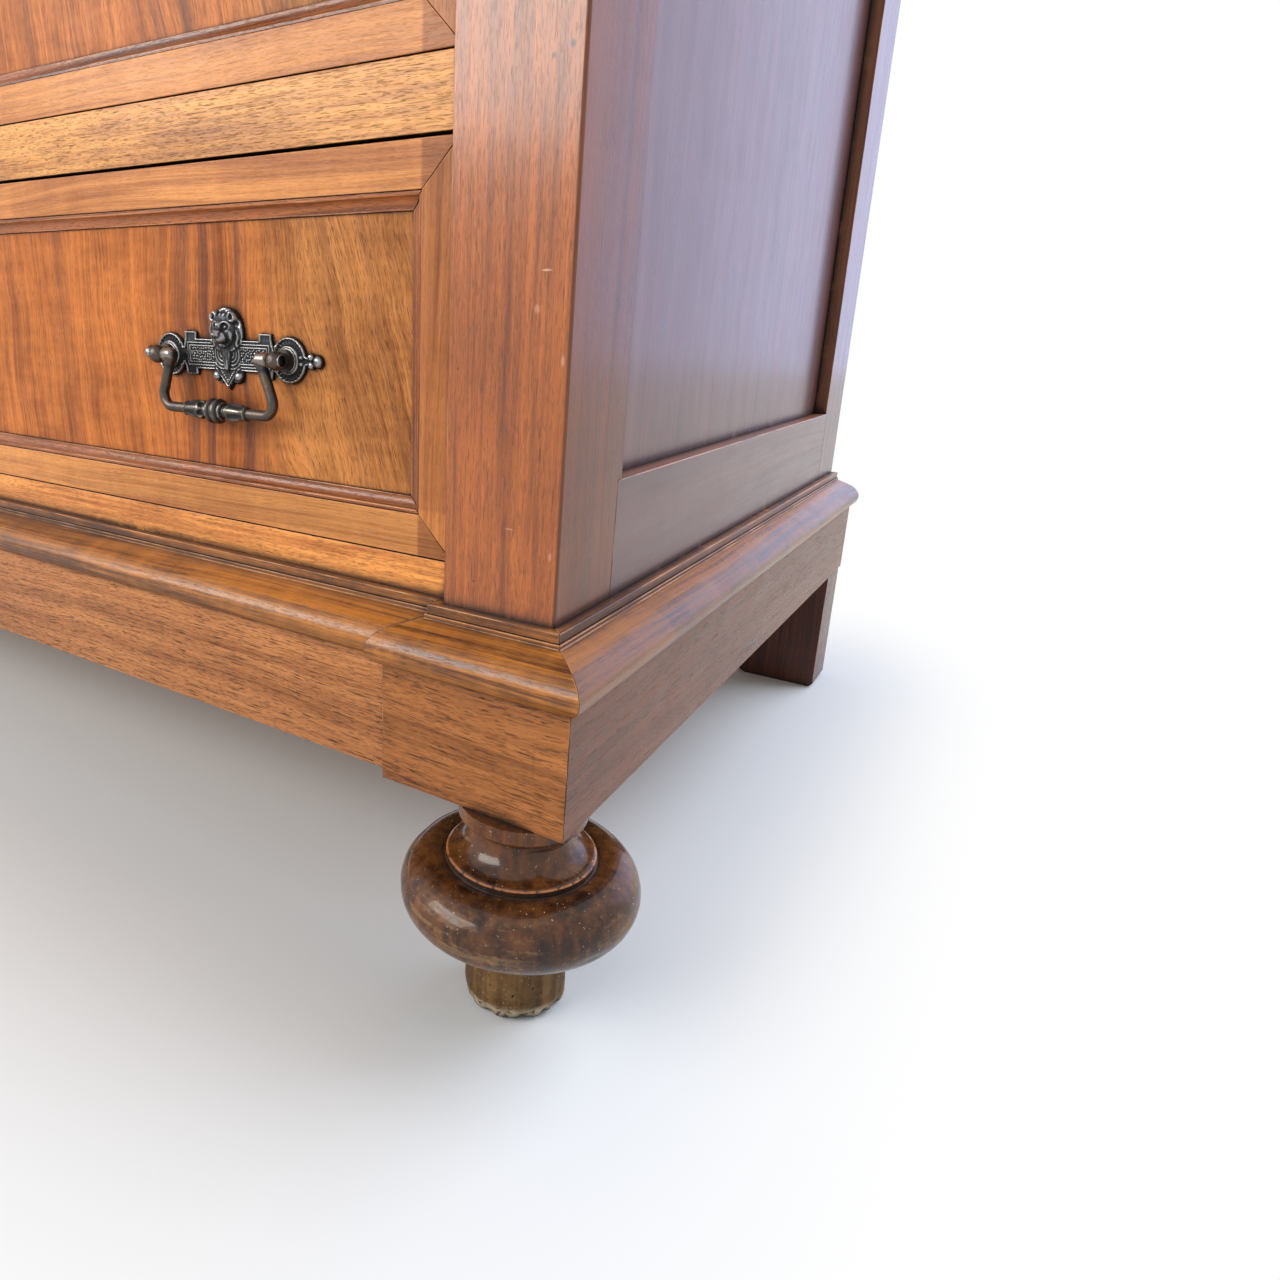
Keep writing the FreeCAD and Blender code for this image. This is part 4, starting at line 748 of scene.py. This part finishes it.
def shield(x, z):
    """Below the chin: a smooth tapering beard, curled feathering at each side of it, and a pointed
    drop with a raised edge, a row of beads inside it and a scroll ball at each shoulder."""
    side = np.abs(x)
    width = np.interp(z, (-8.2, -4, 2, 7), (0.8, 2.2, 3.6, 5))
    stand = np.interp(z, (-8.2, -6, 6), (0.2, 1.9, 2.7))
    height = 1.5 + np.clip(1 - (side / width) ** 2, 0, 1) ** 0.6 * stand
    height += np.cos(side * 5.2 - z * 0.5) * 0.12 * fade(width - side, 0, 0.6)
    curl = np.hypot(side - 3.2, z - 1.4)
    feather = fade(side, width, width + 0.5) * fade(9.8 - side, 0, 1) * fade(z, -7, -6)
    height += (np.cos(curl * 3.3) * 0.32 + 0.32) * feather
    slope = side * 0.75 - (z + 16.6) * 0.66
    height += line(slope + 0.9, 0.7, 1) * fade(-5 - z, 0, 1.5)
    beads = dome((side * 0.66 + z * 0.75 + 60) % 1.5, slope + 2.6, 0.75, 0, 0.7, 0.75, 0.8)
    height += beads * fade(-6.8 - z, 0, 0.8)
    return np.maximum(height, 1.2 + dome(side, z, 8.1, -9.9, 2.9, 2.7, 2.5))


def plate_relief(x, z, rim):
    """Height of the casting over the drawer's field, in mm: each place belongs to the head, the
    shield, a shell or a wing, and everything rounds off over the last half millimetre."""
    side = np.abs(x)
    height = np.where(side > 33, shells(x, z, rim), wings(x, z, rim))
    drop = (side < 11.8) & (z < -6.6) | (side < 9.5) & (z < 6.5)
    height = np.where(drop, shield(x, z), height)
    head = np.hypot(x, z - LION_UP) < np.interp(z, (2, 6, 9), (10, 11.6, 13.5))
    face = lion(x, z)
    height = np.where(head & (z > 2), np.maximum(face, np.where(z < 6.5, height, 0)), height)
    edge = np.clip(1 - (1 - np.clip(rim, 0, 0.5) / 0.5) ** 2, 0, 1) ** 0.5
    return EDGE_HIGH + (height - EDGE_HIGH) * edge


def over_surroundings(height, reach, axes):
    """Height less its mean over 2 reach + 1 neighbours, taken along each axis in turn."""
    mean = height
    for axis in axes:
        mean = sum(np.roll(mean, step, axis) for step in range(-reach, reach + 1)) / (2 * reach + 1)
    return height - mean


def plate_mesh():
    """Points in mm and faces of one plate: a square grid over the outline, less the two bolt
    holes, its rim pulled onto the line, raised by the relief, with an edge and a flat back."""
    edge = plate_outline()
    hole = BOLT_HOLE * np.exp(1j * np.linspace(0, 2 * np.pi, 60))
    across = np.arange(-66.5, 66.6, PITCH)
    up = np.arange(-17.6, 25.2, PITCH)
    grid = across[None, :] + 1j * up[:, None]
    middle = grid[:-1, :-1] + (1 + 1j) * PITCH / 2
    from_bolt = np.abs(np.abs(middle.real) - POST_X + 1j * middle.imag)
    kept = inside(middle, edge) & (from_bolt > BOLT_HOLE)
    index = np.arange(grid.size).reshape(grid.shape)
    cells = np.stack([index[:-1, :-1], index[:-1, 1:], index[1:, 1:], index[1:, :-1]], -1)[kept]
    used, cells = np.unique(cells, return_inverse=True)
    cells = cells.reshape(-1, 4)
    places = grid.reshape(-1)[used]
    lines = np.concatenate([edge, hole - POST_X, hole + POST_X])
    foot = nearest(places, lines)
    rim = np.abs(places - foot)
    loose = np.bincount(cells.reshape(-1), minlength=len(places)) < 4
    places, rim = np.where(loose, foot, places), np.where(loose, 0, rim)
    height = plate_relief(places.real, places.imag, rim)
    whole = np.full(grid.size, EDGE_HIGH)
    whole[used] = height
    stand = over_surroundings(whole.reshape(grid.shape), 4, (0, 1)).reshape(-1)[used]
    front = np.stack([places.real, -height, places.imag, stand], -1)
    back = front * (1, 0, 1, 0)
    start, end = cells.reshape(-1), np.roll(cells, -1, axis=1).reshape(-1)
    size = len(places)
    outer = ~np.isin(start * size + end, end * size + start)
    start, end = start[outer], end[outer]
    walls = np.stack([end, start, start + size, end + size], -1)
    faces = np.concatenate([cells, cells[:, ::-1] + size, walls])
    return np.concatenate([front, back]), faces.tolist()


def full_turn(steps):
    """Even angles once round, the first at 0."""
    return np.linspace(0, 2 * np.pi, steps, endpoint=False)


def revolve(profile, steps=40):
    """Points and faces of a profile (out from the axis, along it) turned about the x axis; a
    profile that starts and ends on the axis closes at both poles."""
    out, along = np.array(profile, float).T
    first, second = (np.tile(axis, (len(along), 1)) for axis in ((0.0, 1.0, 0.0), (0.0, 0.0, 1.0)))
    return tube(np.stack([along, 0 * along, 0 * along], -1), first, second,
                np.repeat(out[:, None], steps, axis=1), full_turn(steps))


def tube_faces(count, steps):
    """Faces over count rings of steps points each: squares between neighbours, and at each end a
    fan onto one of the two points that follow the rings."""
    index = np.arange(count * steps).reshape(count, steps)
    after = np.roll(index, -1, axis=1)
    sides = np.stack([index[:-1], after[:-1], after[1:], index[1:]], -1).reshape(-1, 4)
    pole = np.full(steps, count * steps)
    start = np.stack([after[0], index[0], pole], -1)
    end = np.stack([index[-1], after[-1], pole + 1], -1)
    return sides.tolist() + start.tolist() + end.tolist()


def tube(path, first, second, radius, turn):
    """A tube whose section at each path point lies in the plane of first and second, at radius
    (a row for each path point) and turn; its ends close in a fan onto the path's end points."""
    stand = over_surroundings(radius, 5, (0, 1))[..., None]
    outward = np.cos(turn)[:, None] * first[:, None] + np.sin(turn)[:, None] * second[:, None]
    rings = path[:, None] + radius[..., None] * outward
    rings = np.concatenate([rings, stand], -1).reshape(-1, 4)
    ends = np.pad(path[[0, -1]], ((0, 0), (0, 1)))
    return np.concatenate([rings, ends]), tube_faces(*radius.shape)


def joined(*shells):
    """Several shells as one list of points and faces."""
    points, faces, base = [], [], 0
    for some, loops in shells:
        points.append(some)
        faces += [[corner + base for corner in loop] for loop in loops]
        base += len(some)
    return np.concatenate(points), faces


# The bail's centre line in mm: its knuckles to each side of its middle, the middle of its bend,
# and the bend's radius; then how far out a leaf sheath ends, and the radii of knuckle and pin
KNUCKLE_X, BEND_X, BEND_DOWN, BEND = 33.2, 34.5, 20.8, 6.4
SHEATH_END, KNUCKLE, PIN = 23.0, 3.6, 1.9


def bail_path():
    """The bail's centre line in mm in its own plane, as across and up: the grip, a bend, a
    leaning arm and its knuckle, and the same to the left. The arm is the tangent from the knuckle
    to the bend's circle."""
    run = BEND_X - KNUCKLE_X
    lean = np.arctan2(run, BEND_DOWN) + np.arcsin(BEND / np.hypot(run, BEND_DOWN))
    bend = BEND_X - 1j * BEND_DOWN + BEND * np.exp(1j * np.linspace(-np.pi / 2, lean, 26))
    arm = bend[-1] + (KNUCKLE_X - bend[-1]) * np.linspace(0, 1, 34)[1:]
    grip = np.linspace(0, BEND_X, 150)[:-1] - 1j * (BEND_DOWN + BEND)
    half = np.concatenate([grip, bend, arm])
    return np.concatenate([-half.conjugate()[:0:-1], half])


def bail_radius(path, turn):
    """The bail's thickness: a round rod that swells at the knuckles; on the grip a collar of two
    rings between two leaf sheaths whose lips are scalloped and whose backs are ribbed."""
    level = np.abs(path.imag + BEND_DOWN + BEND) < 0.01
    along = np.where(level, np.abs(path.real), 60)[:, None]
    near = np.abs(path.imag)[:, None]
    radius = 2.7 + 0.75 * fade(6.0 - near, 0, 5)
    lip = 8.6 + 1.9 * np.abs(np.sin(2.5 * turn))
    leaf = np.clip((along - lip) / (SHEATH_END - lip), 0, 1)
    sheath = 3.3 + 1.75 * (1 - leaf) ** 0.8 * fade(along - lip, -0.5, 0.7)
    sheath += 0.5 * np.cos(5 * turn) * fade(leaf, 0.05, 0.3) * fade(1 - leaf, 0, 0.4)
    sheath += line(leaf - 0.94, 0.05, 0.45)
    radius = np.where(along < SHEATH_END, sheath, radius)
    radius = np.where(along < lip - 0.5, 3.2, radius)
    rings = 4.7 + line(along - 2.5, 1.9, 1.75) + 0.9 * fade(2.4 - along, 0, 1)
    beads = 0.25 * np.cos(9 * turn) * line(along - 5.6, 1.2, 1)
    return np.where(along < 5.4, rings, radius) + beads


def bail_mesh():
    """One bail at rest, in mm about the middle of its pin axis: the bent rod, then a knuckle and
    a pin at each end as turned pieces that overlap it."""
    path = bail_path()
    turn = full_turn(40)
    along = np.gradient(path)
    along /= np.abs(along)
    side = along * 1j
    spots = np.stack([path.real, 0 * path.real, path.imag], -1)
    first = np.stack([side.real, 0 * side.real, side.imag], -1)
    second = np.tile((0.0, -1.0, 0.0), (len(path), 1))
    rod = tube(spots, first, second, bail_radius(path, turn), turn)
    swing = np.linspace(0, np.pi / 2, 10)
    cap = [(KNUCKLE * sin(a), KNUCKLE_X - KNUCKLE * cos(a)) for a in swing]
    profile = cap + [(KNUCKLE, 38.3), (KNUCKLE - 0.3, 38.75), (PIN, 38.8), (PIN, 47.2),
                     (PIN - 0.2, 47.4), (0, 47.4)]
    points, faces = revolve(profile)
    other = points * (-1, 1, 1, 1), [loop[::-1] for loop in faces]
    return joined(rod, (points, faces), other)


def ring(radius, thick, centre, steps=(36, 12)):
    """A ring of round section about an axis along x: the section's circle carried round."""
    around, section = (full_turn(count) for count in steps)
    out = radius + thick * np.cos(section)
    across = thick * np.sin(section) + 0 * around[:, None]
    points = np.stack([across + centre[0], np.cos(around)[:, None] * out + centre[1],
                       np.sin(around)[:, None] * out + centre[2], out - radius + 0 * across], -1)
    index = np.arange(points[..., 0].size).reshape(steps)
    across, on = np.roll(index, -1, axis=1), np.roll(index, -1, axis=0)
    faces = np.stack([index, on, np.roll(across, -1, axis=0), across], -1)
    return points.reshape(-1, 4), faces.reshape(-1, 4).tolist()


def cast(name, shells, middle, body, metal, nodes=()):
    """A metal piece from shells in mm about middle; each point's fourth number is its stand."""
    points, faces = joined(*shells)
    points[:, :3] = (points[:, :3] + middle) * MM
    piece = mesh_piece(name, points, faces, body, nodes)
    attribute(piece.data, "stand", points[:, [3, 3, 3]])
    piece.data.materials.append(metal)


def moved(shell, across):
    """The shell with its points moved across by so many mm."""
    return shell[0] + (across, 0, 0, 0), shell[1]


def handles(level, plate, bail):
    """Both handles of one drawer at its bails' pivots: plates on the drawer's field, the rims of
    the bored posts, and the swinging bails."""
    body = "drawer_%d" % level
    bails = [body + "_bail_right", body + "_bail_left"]
    sides = [PIVOT[name][0] for name in bails]
    axis = PIVOT[bails[0]] * (0, 1, 1)
    field = axis + (0, PIN_OUT, 0)
    cast("lion_plates_%d" % level, [moved(plate, across) for across in sides], field, body,
         PLATE_METAL, [body + "_handle_plates"])
    rims = [ring(RIM, RIM_THICK, (across + end * (POST_X + RIM_OUT), 0, 0))
            for across in sides for end in (1, -1)]
    cast("pin_hole_rims_%d" % level, rims, axis, body, PLATE_METAL)
    for name, across in zip(bails, sides):
        cast(name + "_casting", [moved(bail, across)], axis, name, BAIL_METAL, [name])


# Turned feet

# Half section in mm from the floor to the dowel's end: out, up, and the bulge that follows
FOOT_EDGE = (
    (0, 0, 0), (22.8, 0, 0), (24.8, 2, 0), (24.8, 46, 0), (41.5, 46, 0.4142), (57, 61.5, 0.5357),
    (35.5, 75.79, 0), (35.5, 78.74, 0), (34.2, 79.6, -0.45), (23.5, 96, 0), (27.5, 96, 0.44),
    (27.5, 98.5, 0), (30, 98.5, 0), (30, 105, 0), (10, 105, 0), (10, 139, 0), (0, 139, 0),
)
BUN = max(out for out, _, _ in FOOT_EDGE)
FOOT_TOP = FOOT_EDGE[-1][1]
BUN_MEAN, PEG_MEAN = 45, 24


def foot_axis(node):
    """Where a foot's axis stands on the floor, to a hundredth of a millimetre: midway between the
    node's front and back, and a bun's radius in from its outer side."""
    box = np.array(node.bound_box)
    outer = box[np.abs(box[:, 0]).argmax(), 0]
    return round(outer - np.sign(outer) * BUN * MM, 5), round(box[:, 1].mean(), 5)


def foot_section():
    """Points of the half section, about 1.4 mm apart, and doubled close together at each corner so
    that the corner stays sharp."""
    runs = []
    for start, end, bulge in spans(FOOT_EDGE):
        run = arc(start, end, bulge, 1.4)
        nudge = 0.12 / abs(end - start)
        ease = np.array([start + (end - start) * nudge, end - (end - start) * nudge])
        runs.append(run if bulge else np.concatenate([run[:1], ease[:1], run[1:], ease[1:]]))
    return np.concatenate(runs)[1:]


def dents(turn, up, rng):
    """How far the turned surface has been knocked in, in mm: bell-shaped dents at random places,
    the broken lower edge of the peg, and the slow waver of shrinkage across the grain. A dent's
    distance round the foot is its angle times the mean radius of the bun or of the peg."""
    depth = 0.18 + 0.18 * np.cos(2 * turn + 0.7)
    for _ in range(26):
        at, height = rng.uniform(0, 2 * np.pi), rng.uniform(8, 76)
        wide, tall, deep = rng.uniform(1.5, 6), rng.uniform(1.2, 4), rng.uniform(0.15, 0.7)
        gap = np.angle(np.exp(1j * (turn - at))) * BUN_MEAN
        depth = depth + deep * np.exp(-(gap / wide) ** 2 - ((up - height) / tall) ** 2)
    for _ in range(34):
        at, wide, deep = rng.uniform(0, 2 * np.pi), rng.uniform(0.8, 3.4), rng.uniform(0.4, 2.4)
        gap = np.angle(np.exp(1j * (turn - at))) * PEG_MEAN
        depth = depth + deep * np.exp(-(gap / wide) ** 2 - (up / (1.5 + deep)) ** 2)
    return depth


def foot_piece(name, rng):
    """A foot: the half section turned about its upright axis, less the dents up to the collar,
    closed at the floor and at the dowel's end."""
    node = frame["nodes"][name]
    across, back = foot_axis(node)
    section = foot_section()
    turn = full_turn(168)[None, :]
    up = section.imag[:, None]
    out = section.real[:, None]
    out = out - dents(turn, up, rng) * np.clip(out / 20, 0, 1) * (up < 90)
    points = np.stack([across + out * MM * np.cos(turn), back + out * MM * np.sin(turn),
                       up * MM + 0 * turn], -1).reshape(-1, 3)
    points = np.concatenate([points, [(across, back, 0), (across, back, FOOT_TOP * MM)]])
    faces = tube_faces(len(section), turn.size)
    piece = mesh_piece(name + "_turning", points, faces, "carcase", [name])
    attribute(piece.data, "grain", points[:, [2, 0, 1]] + rng.uniform(-4, 4, 3))
    piece.data.materials.append(TURNED)


# Dressing

# Nodes whose grain stands upright, and nodes that the scene makes as pieces of its own
UPRIGHT = ("side_panel", "back_panels")
MADE = ("handle_plates", "bail_right", "bail_left", "front_foot_right", "front_foot_left")


def dress_all():
    """Every node of every body but the made ones: timber becomes a piece, and metal is given its
    finish where it is."""
    rng = np.random.default_rng(SEED)
    for body, names in BEHAVIOUR["bodies"].items():
        for name in sorted(names):
            node = frame["nodes"][name]
            if name.endswith(MADE):
                continue
            if node.data.materials[0].name == "cast_metal":
                node.data.materials[0] = BAIL_METAL
            else:
                dress(name, node, body, rng, upright=any(word in name for word in UPRIGHT))


# Studio

def lamp(name, place, target, size, power, colour, glints):
    """A soft rectangular lamp at place, facing target; glints says whether glossy things mirror
    it."""
    light = bpy.data.lights.new(name, "AREA")
    light.shape = "RECTANGLE"
    light.size, light.size_y = size
    light.energy = power
    light.color = colour
    obj = placed(name, light)
    obj.visible_camera = False
    obj.visible_glossy = glints
    obj.location = place
    obj.rotation_euler = (Vector(target) - Vector(place)).to_track_quat("-Z", "Y").to_euler()


WHITE = (1, 1, 1, 1)

# The floor in metres: its half length, the half sizes of the chest's own rectangle on it, and
# how far from that the white begins and is full; beside the chest, distance counts for more.
# Nearer than that the floor is greyer, painted shade round the chest on top of its real shadow.
FLOOR = 12.0
SHADED_X, SHADED_Y = 0.53, 0.25
WHITENS = (0.02, 0.3)
SIDEWAYS = 1.7


def floor():
    """A pale floor, white away from the chest, that keeps the chest's shadow; the white share
    rises with the distance from the chest's own rectangle, so that near the chest the floor is
    greyer: painted shade on top of the real shadow."""
    mesh = bpy.data.meshes.new("floor")
    square = ((-1, -1, 0), (1, -1, 0), (1, 1, 0), (-1, 1, 0))
    mesh.from_pydata([Vector(corner) * FLOOR for corner in square], [], [(0, 1, 2, 3)])
    f = Finish("pale_floor")
    x, y, _ = f.place()
    beside = (abs(x) - SHADED_X).at_least(0) * SIDEWAYS
    before = (abs(y) - SHADED_Y).at_least(0)
    # The white share, low near the chest: painted shade round it
    far = f.rise((beside * beside + before * before) ** 0.5, *WHITENS)
    shade = f.put("BsdfDiffuse", None, {"Color": (0.715, 0.735, 0.75, 1)})
    white = f.put("Emission", None, {"Color": WHITE, "Strength": 1.0})
    both = f.put("MixShader", None, {0: far * f.seen(), 1: shade, 2: white})
    f.put("OutputMaterial", None, {"Surface": both})
    mesh.materials.append(f.material)
    placed("floor", mesh)


def backdrop(level):
    """White where the camera or a reflection sees it, and an even light of strength level
    elsewhere."""
    f = Finish("studio", bpy.data.worlds)
    bpy.context.scene.world = f.material
    strength = f.seen() * (1 - level) + level
    light = f.put("Background", None, {"Color": WHITE, "Strength": strength})
    f.put("OutputWorld", None, {"Surface": light})


# The camera's place in metres, its turn, dip and tilt, and its lens
EYE = (0.6889, -0.5612, 0.3146)
TURN, DIP, TILT = radians(-33.235), radians(16.945), radians(-1.426)
LENS, SHIFT_X, SHIFT_Y = 24.716, 0.1406, -0.0391


def camera():
    """Held low by the right front corner. It looks forward by turn and dip; its level and its
    downward axes are then turned about that line by the tilt."""
    forward = Vector((sin(TURN) * cos(DIP), cos(TURN) * cos(DIP), -sin(DIP)))
    level = Vector((cos(TURN), -sin(TURN), 0))
    below = forward.cross(level)
    right = cos(TILT) * level + sin(TILT) * below
    down = cos(TILT) * below - sin(TILT) * level
    eye = bpy.data.cameras.new("camera")
    eye.sensor_width = 36
    eye.lens = LENS
    eye.shift_x = SHIFT_X
    eye.shift_y = SHIFT_Y
    eye.clip_start = 0.01
    obj = placed("camera", eye)
    axes = Matrix((right, -down, -forward)).transposed().to_4x4()
    obj.matrix_world = Matrix.Translation(EYE) @ axes
    bpy.context.scene.camera = obj


def studio():
    """A window in front to the left, sky high on the right, and low blue sky behind that the
    polish mirrors."""
    backdrop(0.42)
    floor()
    lamp("window", (-0.95, -2.0, 1.35), (0.2, -0.2, 0.5), (2.0, 1.1), 52, (1.0, 0.98, 0.95), True)
    lamp("side_sky", (2.2, 2.4, 2.6), (0.7, 0.0, 0.2), (3.2, 3.2), 175, (0.84, 0.90, 1.0), False)
    lamp("low_sky", (1.45, 2.85, 1.2), (0.55, 0.0, 0.3), (3.0, 2.2), 18, (0.32, 0.42, 1.0), True)
    camera()
    bpy.context.scene.view_settings.view_transform = "Standard"


dress_all()
foot_piece("front_foot_right", np.random.default_rng(SEED + 1))
foot_piece("front_foot_left", np.random.default_rng(SEED + 2))
plate, bail = plate_mesh(), bail_mesh()
for level in (1, 2, 3):
    handles(level, plate, bail)
studio()
